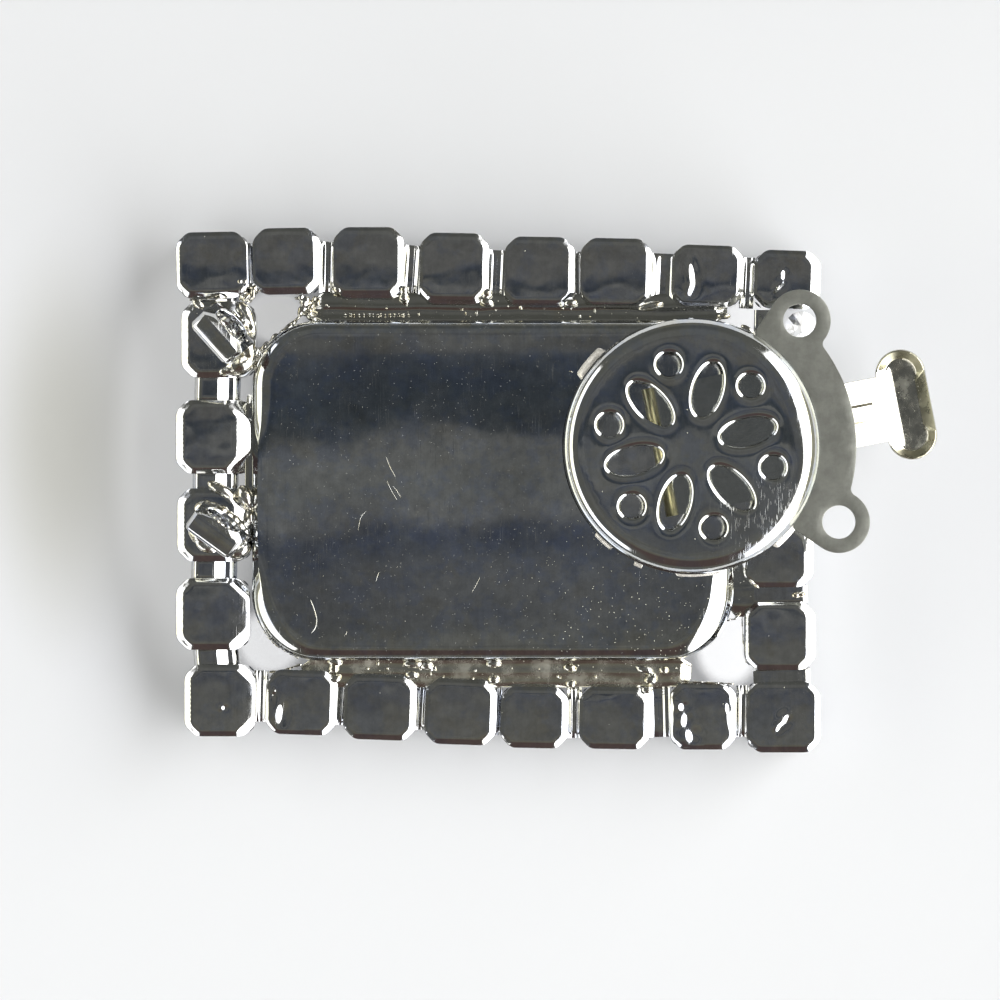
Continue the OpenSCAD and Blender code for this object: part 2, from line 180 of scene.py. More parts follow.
def plated(name, base, rough, scratch=0.5, dust=0.3, grime=0.0, wave=0.0, tint=(0.60, 0.54, 0.40), streak_rot=0.05,
           dust_zone=None, brushed=0.0, scratch_zone=None, mott=0.10, cool=0.0, metal=1.0):
    """Bright plating: fine straight scratches, pin-point dust, faint stains and a slow waviness."""
    m, nt, bs = new_mat(name)
    n = N(nt)
    plain = n.coord()
    # fine scratches: stretched noise cut to thin lines, in two directions
    s1 = n.step(n.noise(n.coord((26, 0.55, 1), (0, 0, streak_rot)), 1.0, 1.0, 0.5), 0.67, 0.75)
    s2 = n.step(n.noise(n.coord((22, 0.9, 1), (0, 0, streak_rot + 0.5), (3, 1, 0)), 1.0, 1.0, 0.5), 0.72, 0.79)
    s3 = n.step(n.noise(n.coord((18, 1.1, 1), (0, 0, streak_rot - 0.85), (9, 4, 0)), 1.0, 1.0, 0.5), 0.73, 0.80)
    lines = n.math("MAXIMUM", s1, n.math("MAXIMUM", s2, s3))
    patch = n.step(n.noise(plain, 0.35, 2.0), 0.38, 0.62)
    if scratch_zone is not None:
        sv = n.node("ShaderNodeVectorMath", operation="DISTANCE")
        n.put(sv.inputs[0], plain)
        sv.inputs[1].default_value = scratch_zone[:3]
        patch = n.step(sv.outputs["Value"], scratch_zone[3], scratch_zone[3] * 0.3)
        s4 = n.step(n.noise(n.coord((14, 2.2, 1), (0, 0, streak_rot + 0.2), (2, 8, 0)), 1.0, 1.0, 0.5), 0.59, 0.69)
        lines = n.math("MAXIMUM", lines, n.math("MULTIPLY", s4, patch))
    lines = n.math("MULTIPLY", lines, n.math("MULTIPLY_ADD", patch, 0.8, 0.2))
    # dust: small round specks in some of the cells
    v = n.voronoi(plain, 2.4)
    keep = n.step(n.sep(v.outputs["Color"])[0], 0.97 - 0.5 * dust, 0.99 - 0.5 * dust)
    speck = n.math("MULTIPLY", n.step(v.outputs["Distance"], 0.10, 0.05), keep)
    specks = speck
    if dust >= 0.2:
        v2 = n.voronoi(n.coord((1, 1, 1), (0, 0, 0.7), (5, 3, 0)), 5.5)
        keep2 = n.step(n.sep(v2.outputs["Color"])[1], 0.96 - 0.5 * dust, 0.98 - 0.5 * dust)
        speck2 = n.math("MULTIPLY", n.step(v2.outputs["Distance"], 0.16, 0.08), keep2)
        specks = n.math("MAXIMUM", speck, speck2)
    if dust_zone is not None:
        # denser round one point, sparse elsewhere
        dv = n.node("ShaderNodeVectorMath", operation="DISTANCE")
        n.put(dv.inputs[0], plain)
        dv.inputs[1].default_value = dust_zone[:3]
        near = n.step(dv.outputs["Value"], dust_zone[3], dust_zone[3] * 0.35)
        specks = n.math("MULTIPLY", specks, n.math("MULTIPLY_ADD", near, 0.70, 0.30))
    stain = n.step(n.noise(n.coord((1, 1, 1), (0, 0, 0), (2, 7, 1)), 0.6, 4.0, 0.6), 0.50, 0.72)
    col = n.mix(n.math("MULTIPLY", stain, 0.25 + grime), rgba(*base), rgba(*tint))
    if cool:
        blue = n.step(n.noise(n.coord((1, 1, 1), (0, 0, 0), (3, 9, 2)), 0.7, 3.0, 0.65), 0.46, 0.62)
        col = n.mix(n.math("MULTIPLY", blue, cool), col, rgba(base[0] * .78, base[1] * .86, base[2] * 1.10))
    # clouded and faintly streaked
    cloud = n.noise(n.coord((1, 1, 1), (0, 0, 0), (6, 1, 4)), 1.5, 3.0, 0.70)
    streak = n.noise(n.coord((7, 0.5, 1), (0, 0, streak_rot), (1, 5, 0)), 1.0, 3.0, 0.6)
    tone = n.math("ADD", n.math("MULTIPLY_ADD", cloud, 3.2 * mott, 1.0 - 1.6 * mott), n.math("MULTIPLY_ADD", streak, 0.7 * mott, -0.35 * mott))
    sv2 = n.node("ShaderNodeVectorMath", operation="SCALE")
    n.put(sv2.inputs[0], col)
    n.put(sv2.inputs["Scale"], tone)
    col = n.mix(n.math("MULTIPLY", specks, 0.8), sv2.outputs[0], rgba(0.66, 0.65, 0.50))
    n.put(bs.inputs["Base Color"], col)
    n.put(bs.inputs["Metallic"], n.math("SUBTRACT", metal, n.math("MULTIPLY", specks, 0.85 * metal)))
    haze = n.step(n.noise(plain, 0.9, 4.0, 0.6), 0.35, 0.75)
    r = n.math("MULTIPLY_ADD", haze, rough * 0.8, rough * 0.6)
    r = n.math("ADD", r, n.math("MULTIPLY", lines, 0.30 * scratch))
    if scratch_zone is not None:
        r = n.math("ADD", r, n.math("MULTIPLY", patch, 0.07))
    r = n.math("ADD", r, n.math("MULTIPLY", specks, 0.45))
    n.put(bs.inputs["Roughness"], r)
    nor = n.bump(n.math("MULTIPLY", lines, -0.6 * scratch), 0.000006, 0.6)
    if brushed:
        b = n.noise(n.coord((14, 0.7, 1), (0, 0, TURN + 0.1)), 1.0, 3.0)
        nor = n.bump(b, 0.00001 * brushed, 0.5, nor)
    if wave:
        w = n.noise(n.coord((1, 1, 1), (0, 0, 0), (1, 2, 3)), 0.30, 2.0, 0.45)
        nor = n.bump(w, 0.00005 * wave, 1.0, nor)
    n.put(bs.inputs["Normal"], nor)
    return m


def tongue_mat():
    """Satin plate outside the box; where it stays inside the box its colour is painted brighter, lifting the shade
    under the lid, and its rolled end has a painted yellowish highlight.
    """
    m, nt, bs = new_mat("tongue_plating")
    n = N(nt)
    plain = n.coord()
    d = n.node("ShaderNodeVectorMath", operation="LENGTH")
    n.put(d.inputs[0], n.coord((1, 1, 0), (0, 0, 0), (-BOX[0], -BOX[1], 0)))
    out = n.step(d.outputs["Value"], 6.3, 6.7)
    g = n.noise(plain, 0.5, 3.0, 0.5)
    u = n.sep(n.coord((1, 1, 1), (0, 0, -TURN)))[0]
    u0 = BOX[0] * CT + BOX[1] * ST
    # painted highlight: a yellowish band along the rolled end, standing in for glints seen through the lid's petals
    roll = n.step(u, u0 - 1.30, u0 - 1.50)
    mot = n.step(n.noise(plain, 1.3, 6.0, 0.65), 0.30, 0.70)
    # painted light: inside the box (out = 0) the plate gets a brighter colour than outside, making up for the shade
    # under the lid
    col = n.mix(out, n.mix(mot, rgba(0.66, 0.665, 0.63), rgba(0.56, 0.57, 0.53)), n.mix(mot, rgba(0.405, 0.408, 0.368), rgba(0.315, 0.320, 0.288)))
    n.put(bs.inputs["Base Color"], n.mix(roll, col, rgba(0.86, 0.80, 0.50)))
    bs.inputs["Metallic"].default_value = 1.0
    fine = n.noise(n.coord((6, 1.2, 1), (0, 0, -TURN)), 1.0, 3.0)
    r = n.math("ADD", n.math("MULTIPLY_ADD", out, 0.28, 0.12), n.math("MULTIPLY", roll, 0.22))
    n.put(bs.inputs["Roughness"], n.math("ADD", r, n.math("MULTIPLY_ADD", fine, 0.06, -0.03)))
    b = n.bump(fine, 0.000004, 0.8)
    n.put(bs.inputs["Normal"], n.bump(n.noise(plain, 6.0, 4.0, 0.6), 0.000004, 0.8, b))
    return m


def solder_mat(name="solder"):
    m, nt, bs = new_mat(name)
    n = N(nt)
    plain = n.coord()
    g = n.noise(plain, 2.2, 5.0, 0.65)
    n.put(bs.inputs["Base Color"], n.mix(n.step(g, 0.42, 0.66), rgba(0.72, 0.715, 0.68), rgba(0.60, 0.55, 0.42)))
    bs.inputs["Metallic"].default_value = 1.0
    n.put(bs.inputs["Roughness"], n.math("MULTIPLY_ADD", n.noise(plain, 5.0, 3.0), 0.30, 0.02))
    nor = n.bump(n.noise(plain, 3.0, 4.0, 0.55), 0.00003, 0.8)
    n.put(bs.inputs["Normal"], n.bump(n.noise(plain, 14.0, 3.0), 0.000004, 0.8, nor))
    return m


def glass_mat(name, tint):
    m, nt, bs = new_mat(name)
    n = N(nt)
    bs.inputs["Base Color"].default_value = rgba(*tint)
    bs.inputs["Transmission Weight"].default_value = 1.0
    bs.inputs["IOR"].default_value = 1.56
    n.put(bs.inputs["Roughness"], n.step(n.noise(n.coord(), 1.6, 3.0), 0.55, 0.9, 0.0, 0.06))
    return m


def foil_mat(name="stone_foil"):
    """Silvered backs of the stones."""
    m, nt, bs = new_mat(name)
    n = N(nt)
    g = n.noise(n.coord(), 1.4, 4.0)
    n.put(bs.inputs["Base Color"], n.mix(n.step(g, 0.45, 0.7), rgba(0.86, 0.87, 0.88), rgba(0.72, 0.66, 0.55)))
    bs.inputs["Metallic"].default_value = 1.0
    n.put(bs.inputs["Roughness"], n.math("MULTIPLY_ADD", g, 0.12, 0.02))
    return m


def chaton_mat(name, glow):
    """Back of an unfoiled stone, with a painted glow (emission) standing in for light shining through it from the paper
    below.
    """
    m, nt, bs = new_mat(name)
    n = N(nt)
    g = n.noise(n.coord(), 2.6, 3.0)
    n.put(bs.inputs["Base Color"], n.mix(n.step(g, 0.4, 0.7), rgba(0.86, 0.87, 0.89), rgba(0.80, 0.78, 0.76)))
    bs.inputs["Metallic"].default_value = 0.7
    n.put(bs.inputs["Roughness"], n.math("MULTIPLY_ADD", g, 0.15, 0.06))
    bs.inputs["Emission Color"].default_value = rgba(1.0, 1.0, 1.0)
    bs.inputs["Emission Strength"].default_value = glow
    return m


M_BACK = plated("plating_back", (0.62, 0.63, 0.62), 0.050, scratch=0.42, dust=0.9, mott=0.24, streak_rot=0.22, cool=0.5,
                dust_zone=(5.0, -6.5, 5.2, 9.0))
M_CUP = plated("plating_cups", (0.65, 0.65, 0.64), 0.10, scratch=0.3, dust=0.06, wave=0.05, grime=0.05, mott=0.18, cool=0.4)
M_LID = plated("plating_lid", (0.66, 0.67, 0.66), 0.07, scratch=0.6, dust=0.04, streak_rot=0.2, cool=0.4,
               scratch_zone=(10.9, -1.6, 8.3, 4.2))
M_LEVER = plated("lever_plating", (0.68, 0.665, 0.60), 0.10, scratch=0.4, dust=0.15, grime=0.1, streak_rot=1.3)
M_PAD = plated("lever_floor", (0.56, 0.55, 0.475), 0.27, scratch=0.3, dust=0.2, grime=0.2, streak_rot=1.3, mott=0.14)
# solder foot in a near-white, half-matte colour: real solder with a painted highlight
M_FOOT_PAINTED_HIGHLIGHT = plated("foot_solder_painted_highlight", (0.95, 0.92, 0.87), 0.36, scratch=0.2, dust=0.1, metal=0.45)
# painted highlight: near-white and mostly matte, so the bead reads bright from any side
M_BEAD_PAINTED_HIGHLIGHT = plated("lip_edge_painted_highlight", (0.95, 0.92, 0.80), 0.40, scratch=0.1, dust=0.1, metal=0.25)
# painted shade: dark khaki for the rib's flanks on the same sheet
M_RIB_PAINTED_SHADE = plated("rib_side_painted_shade", (0.34, 0.32, 0.25), 0.45, scratch=0.1, dust=0.1, metal=0.8)
M_LIP = plated("lever_lip", (0.54, 0.52, 0.39), 0.38, scratch=0.3, dust=0.1, grime=0.3, streak_rot=1.3)
M_TONGUE = tongue_mat()
M_SOLDER = solder_mat()
M_RUN = plated("solder_dark", (0.58, 0.575, 0.54), 0.13, scratch=0.3, dust=0.35, wave=0.25, grime=0.1)
# painted light: the same solder in a brighter, warmer copy, used for the run below the setting
M_RUN_PAINTED_LIT = plated("solder_painted_bright", (0.72, 0.70, 0.61), 0.26, scratch=0.3, dust=0.35, wave=0.25, grime=0.1)
M_GLASS = glass_mat("clear_glass", (0.97, 0.98, 0.99))
M_FOIL = foil_mat()


# ---------------------------------------------------------------- mesh helpers
def build(name, verts, faces, mats, body, replaces=(), face_mat=None, smooth=True, doubles=0.0):
    """verts are in millimetres, in the model's frame."""
    me = bpy.data.meshes.new(name)
    me.from_pydata([(x * MM, y * MM, z * MM) for x, y, z in verts], [], faces)
    me.validate()
    if doubles:
        bm = bmesh.new()
        bm.from_mesh(me)
        bmesh.ops.remove_doubles(bm, verts=bm.verts, dist=doubles * MM)
        bm.to_mesh(me)
        bm.free()
    ob = bpy.data.objects.new(name, me)
    bpy.context.scene.collection.objects.link(ob)
    for m in mats:
        me.materials.append(m)
    if face_mat is not None:
        for p, k in zip(me.polygons, face_mat):
            p.material_index = k
    me.polygons.foreach_set("use_smooth", [smooth] * len(me.polygons))
    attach(ob, body)
    if replaces:
        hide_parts(*replaces)
    return ob


def outward(ob):
    bm = bmesh.new()
    bm.from_mesh(ob.data)
    bmesh.ops.recalc_face_normals(bm, faces=bm.faces)
    bm.to_mesh(ob.data)
    bm.free()


def weighted(ob, sharp=35):
    """Keeps flats flat beside small rounded edges."""
    for e in ob.data.edges:
        pass
    ob.data.set_sharp_from_angle(angle=math.radians(sharp))
    w = ob.modifiers.new("weighted", "WEIGHTED_NORMAL")
    w.keep_sharp = True
    w.weight = 80
    return ob


def inside(p, loop):
    x, y = p
    c = False
    j = len(loop) - 1
    for i in range(len(loop)):
        xi, yi = loop[i]
        xj, yj = loop[j]
        if (yi > y) != (yj > y) and x < (xj - xi) * (y - yi) / (yj - yi) + xi:
            c = not c
        j = i
    return c


def patch(outline, holes, inner, zf):
    """Triangulated surface inside outline and outside holes, lifted by zf(x, y).
    Returns verts, faces, the outline's and the holes' vertex numbers."""
    pts, edges, loops = [], [], []
    for lp in [outline] + list(holes):
        a = len(pts)
        pts += [Vector(p) for p in lp]
        edges += [(a + i, a + (i + 1) % len(lp)) for i in range(len(lp))]
        loops.append(list(range(a, a + len(lp))))
    pts += [Vector(p) for p in inner]
    co, _, tri, orig, _, _ = delaunay_2d_cdt(pts, edges, [], 0, 1e-6)
    where = {}
    for k, o in enumerate(orig):
        for i in o:
            where[i] = k
    faces = []
    boxes = [(min(p[0] for p in h), max(p[0] for p in h), min(p[1] for p in h), max(p[1] for p in h), h) for h in holes]
    rim = set(where[i] for i in loops[0])
    for t in tri:
        c = ((co[t[0]][0] + co[t[1]][0] + co[t[2]][0]) / 3, (co[t[0]][1] + co[t[1]][1] + co[t[2]][1]) / 3)
        # only triangles that touch the outline can lie outside it
        if (t[0] in rim or t[1] in rim or t[2] in rim) and not inside(c, outline):
            continue
        if any(b[0] < c[0] < b[1] and b[2] < c[1] < b[3] and inside(c, b[4]) for b in boxes):
            continue
        faces.append(tuple(t))
    verts = [(p[0], p[1], zf(p[0], p[1])) for p in co]
    return verts, faces, [[where[i] for i in lp] for lp in loops]


def rounded_poly(pts, r, n=4):
    """Closed polygon with its corners rounded by radius r."""
    out = []
    m = len(pts)
    for i in range(m):
        p, a, b = Vector(pts[i]), Vector(pts[i - 1]), Vector(pts[(i + 1) % m])
        u, v = (a - p).normalized(), (b - p).normalized()
        ang = math.acos(max(-1, min(1, u.dot(v))))
        t = min(r / math.tan(ang / 2), (a - p).length * 0.49, (b - p).length * 0.49)
        rr = t * math.tan(ang / 2)
        c = p + (u + v).normalized() * (rr / math.sin(ang / 2))
        p0, p1 = p + u * t - c, p + v * t - c
        a0 = math.atan2(p0.y, p0.x)
        d = (math.atan2(p1.y, p1.x) - a0 + math.pi) % (2 * math.pi) - math.pi
        for k in range(n + 1):
            q = a0 + d * k / n
            out.append((c.x + rr * math.cos(q), c.y + rr * math.sin(q)))
    return out


def resample(loop, step):
    """Even spacing round a closed loop, keeping its points."""
    out = []
    for i, p in enumerate(loop):
        q = loop[(i + 1) % len(loop)]
        d = math.dist(p, q)
        k = max(1, int(round(d / step)))
        for j in range(k):
            out.append((p[0] + (q[0] - p[0]) * j / k, p[1] + (q[1] - p[1]) * j / k))
    return out


def inset(loop, t):
    """Moves a counter-clockwise loop inwards by t."""
    out = []
    m = len(loop)
    for i in range(m):
        a, p, b = Vector(loop[i - 1]), Vector(loop[i]), Vector(loop[(i + 1) % m])
        n1, n2 = (p - a), (b - p)
        n1 = Vector((-n1.y, n1.x)).normalized() if n1.length > 1e-9 else Vector((0, 0))
        n2 = Vector((-n2.y, n2.x)).normalized() if n2.length > 1e-9 else Vector((0, 0))
        nn = n1 + n2
        if nn.length < 1e-9:
            nn = n1
        nn.normalize()
        k = max(0.5, nn.dot(n1))
        out.append((p.x + nn.x * t / k, p.y + nn.y * t / k))
    return out


def grid_points(lo, hi, step, test, jitter=0.0):
    pts = []
    nx, ny = int((hi[0] - lo[0]) / step) + 1, int((hi[1] - lo[1]) / step) + 1
    for j in range(ny):
        for i in range(nx):
            x = lo[0] + (i + 0.5 * (j % 2)) * step + rng.uniform(-jitter, jitter)
            y = lo[1] + j * step + rng.uniform(-jitter, jitter)
            if test(x, y):
                pts.append((x, y))
    return pts


def smax(a, b, k):
    h = max(k - abs(a - b), 0.0) / k
    return max(a, b) + h * h * k * 0.25


class Mesh:
    """Collects vertices and faces of several shapes into one object."""
    def __init__(self):
        self.v, self.f, self.m = [], [], []

    def add(self, verts, faces, mat=0):
        a = len(self.v)
        self.v += verts
        self.f += [tuple(a + i for i in f) for f in faces]
        self.m += [mat] * len(faces)
        return a

    def strip(self, rings, closed=True, mat=0):
        """Quads between rings of equal length."""
        a = len(self.v)
        n = len(rings[0])
        for r in rings:
            self.v += list(r)
        for k in range(len(rings) - 1):
            for i in range(n if closed else n - 1):
                j = (i + 1) % n
                self.f.append((a + k * n + i, a + k * n + j, a + (k + 1) * n + j, a + (k + 1) * n + i))
                self.m.append(mat)
        return a

    def cap(self, ring, mat=0, flip=False):
        a = len(self.v)
        self.v += list(ring)
        c = [sum(p[k] for p in ring) / len(ring) for k in range(3)]
        self.v.append(tuple(c))
        m = len(ring)
        for i in range(m):
            f = (a + i, a + (i + 1) % m, a + m)
            self.f.append(f[::-1] if flip else f)
            self.m.append(mat)


def tube(mesh, path, radii, seg=12, mat=0, squash=(1.0, 1.0), up=Vector((0, 0, 1)), caps=True):
    """A tube along path with a radius at each point."""
    pts = [Vector(p) for p in path]
    rings = []
    for i, p in enumerate(pts):
        t = (pts[min(i + 1, len(pts) - 1)] - pts[max(i - 1, 0)]).normalized()
        side = t.cross(up)
        if side.length < 1e-4:
            side = t.cross(Vector((1, 0, 0)))
        side.normalize()
        n2 = side.cross(t).normalized()
        r = radii[i] if isinstance(radii, (list, tuple)) else radii
        rings.append([tuple(p + side * (r * squash[0] * math.cos(2 * math.pi * k / seg))
                            + n2 * (r * squash[1] * math.sin(2 * math.pi * k / seg))) for k in range(seg)])
    mesh.strip(rings, True, mat)
    if caps:
        mesh.cap(rings[0], mat, True)
        mesh.cap(rings[-1], mat)


def spline(pts, n):
    """Catmull-Rom through the points."""
    P = [Vector(p) for p in pts]
    P = [P[0] * 2 - P[1]] + P + [P[-1] * 2 - P[-2]]
    out = []
    for i in range(1, len(P) - 2):
        for k in range(n):
            t = k / n
            a, b, c, d = P[i - 1], P[i], P[i + 1], P[i + 2]
            out.append(0.5 * ((2 * b) + (c - a) * t + (2 * a - 5 * b + 4 * c - d) * t * t + (3 * b - a - 3 * c + d) * t ** 3))
    out.append(P[-2])
    return out


def rounded_rect(w, d, r, step=0.6, n=14):
    c = [(w / 2 - r, d / 2 - r, 0), (-w / 2 + r, d / 2 - r, 90), (-w / 2 + r, -d / 2 + r, 180), (w / 2 - r, -d / 2 + r, 270)]
    loop = []
    for cx, cy, a0 in c:
        for k in range(n + 1):
            a = math.radians(a0 + 90 * k / n)
            loop.append((cx + r * math.cos(a), cy + r * math.sin(a)))
    return resample(loop, step)


# ---------------------------------------------------------------- border cups
def cup_outline(w, d, t=0.0):
    a, b = w / 2 - t, d / 2 - t
    c = 0.60
    return rounded_poly([(a, -b + c), (a, b - c), (a - c, b), (-a + c, b), (-a, b - c), (-a, -b + c), (-a + c, -b), (a - c, -b)],
                        0.62, 5)


def make_cups():
    M = Mesh()
    for i, (cx, cy, w, d, turn) in enumerate(CUPS):
        bl, br, bt, bb = BEVEL[i]
        a, b = w / 2, d / 2
        co, si = math.cos(math.radians(turn)), math.sin(math.radians(turn))
        sd = i * 7.31
        tilt = (0.007 * math.sin(sd * 3.1), 0.006 * math.cos(sd * 2.3))
        crown = (0.022 + 0.012 * math.sin(sd), 0.045 + 0.018 * math.cos(sd * 1.7))
        marks = []
        for mx, my, l, wd, mt in MARKS:
            X, Y, _ = px(mx, my, CUP_TOP)
            dx, dy = X - cx, Y - cy
            lx, ly = dx * co + dy * si, -dx * si + dy * co
            if abs(lx) < a and abs(ly) < b:
                marks.append((lx, ly, l / 1.56, wd / 0.8, math.radians(mt - turn)))

        left_slope = 0.60
        soft = 0.22 if i in (19, 20) else 0.05

        def back(x, y, bl=bl, br=br, bt=bt, bb=bb, a=a, b=b, sd=sd, tilt=tilt, crown=crown, marks=marks, left_slope=left_slope, soft=soft):
            # slopes: steep on narrow bevels, gentler on the wide right-hand ones
            g = smax(0.0, (bl - (a + x)) * left_slope, 0.05)
            g = smax(g, (br - (a - x)) * (0.46 if br < 0.6 else 0.27), soft)
            g = smax(g, (bt - (b - y)) * 0.70, 0.06)
            g = smax(g, (bb - (b + y)) * 0.70, 0.06)
            for sx, sy in ((1, 1), (1, -1), (-1, 1), (-1, -1)):
                wx = (br if sx > 0 else bl)
                wy = (bt if sy > 0 else bb)
                corner = ((a - wx) + (b - wy) - 0.46 - (sx * x + sy * y)) / 1.4142
                g = smax(g, -corner * 0.75, 0.10)
            u = noise.noise(Vector((x * 0.55 + sd, y * 0.55, sd))) * 0.015 + noise.noise(Vector((x * 1.3 + sd, y * 1.3, 9 + sd))) * 0.006
            for lx, ly, l, wd, mt in marks:
                p = ((x - lx) * math.cos(mt) + (y - ly) * math.sin(mt)) / l
                q = (-(x - lx) * math.sin(mt) + (y - ly) * math.cos(mt)) / wd
                k = p * p + q * q
                if k < 9:
                    # a small facet that leans to +X
                    u += 0.46 * wd * q * math.exp(-k) * (1 if math.sin(mt) >= 0 else -1)
            return CUP_TOP - 0.03 - g + u + tilt[0] * x + tilt[1] * y - crown[0] * (x / a) ** 2 - crown[1] * (y / b) ** 2

        top = resample(cup_outline(w, d, 0.05), 0.16)
        keep = lambda x, y: abs(x) < a - 0.12 and abs(y) < b - 0.12 and abs(x) + abs(y) < a + b - 0.78
        inner = grid_points((-a, -b), (a, b), 0.12, keep)
        # rows of points along the bevels' inner lines
        for x0 in (-a + bl, -a + bl + .07, -a + bl * .55 + .02, a - br, a - br - .07, a - br + .08):
            inner += [(x0, -b + .12 + (2 * b - .24) * k / 40) for k in range(41) if keep(x0, -b + .12 + (2 * b - .24) * k / 40)]
        for lx, ly, l, wd, mt in marks:
            inner += grid_points((lx - 2 * l, ly - 2 * l), (lx + 2 * l, ly + 2 * l), 0.045, keep)
        v, f, loops = patch(top, [], inner, back)
        ring0 = [v[k] for k in loops[0]]
        # rounded edge and wall down to the rim
        out1 = inset([(p[0], p[1]) for p in ring0], -0.035)
        out2 = inset([(p[0], p[1]) for p in ring0], -0.05)
        ring1 = [(q[0], q[1], p[2] - 0.015) for q, p in zip(out1, ring0)]
        ring2 = [(q[0], q[1], p[2] - 0.05) for q, p in zip(out2, ring0)]
        walls = [[(q[0], q[1], 3.6 + 0 * k) for q in out2] for k in range(1)]
        low = [(q[0], q[1], CUP_RIM + 0.06) for q in out2]
        low2 = [(q[0], q[1], CUP_RIM) for q in inset(out2, 0.06)]
        m = len(ring0)

        def circle(r, z, m=m):
            # same number of points as the outline, at the outline's own angles
            return [(r * math.cos(math.atan2(q[1], q[0])), r * math.sin(math.atan2(q[1], q[0])), z) for q in out2]
        rings = [ring0, ring1, ring2, walls[0], low, low2, circle(1.30, CUP_RIM), circle(1.46, CUP_RIM + 0.3),
                 circle(1.46, 1.80), circle(1.2, 2.2), circle(1.2, 3.9)]

        def place(p, cx=cx, cy=cy, co=co, si=si):
            return (cx + p[0] * co - p[1] * si, cy + p[0] * si + p[1] * co, p[2])
        M.add([place(p) for p in v], f)
        M.strip([[place(p) for p in r] for r in rings[:1] + rings[1:]])
        M.cap([place(p) for p in rings[-1]])
    ob = build("border_cups", M.v, M.f, [M_CUP], "frame", ["soldered_frame"], doubles=0.002)
    outward(ob)
    ob.data.set_sharp_from_angle(angle=math.radians(38))
    return ob


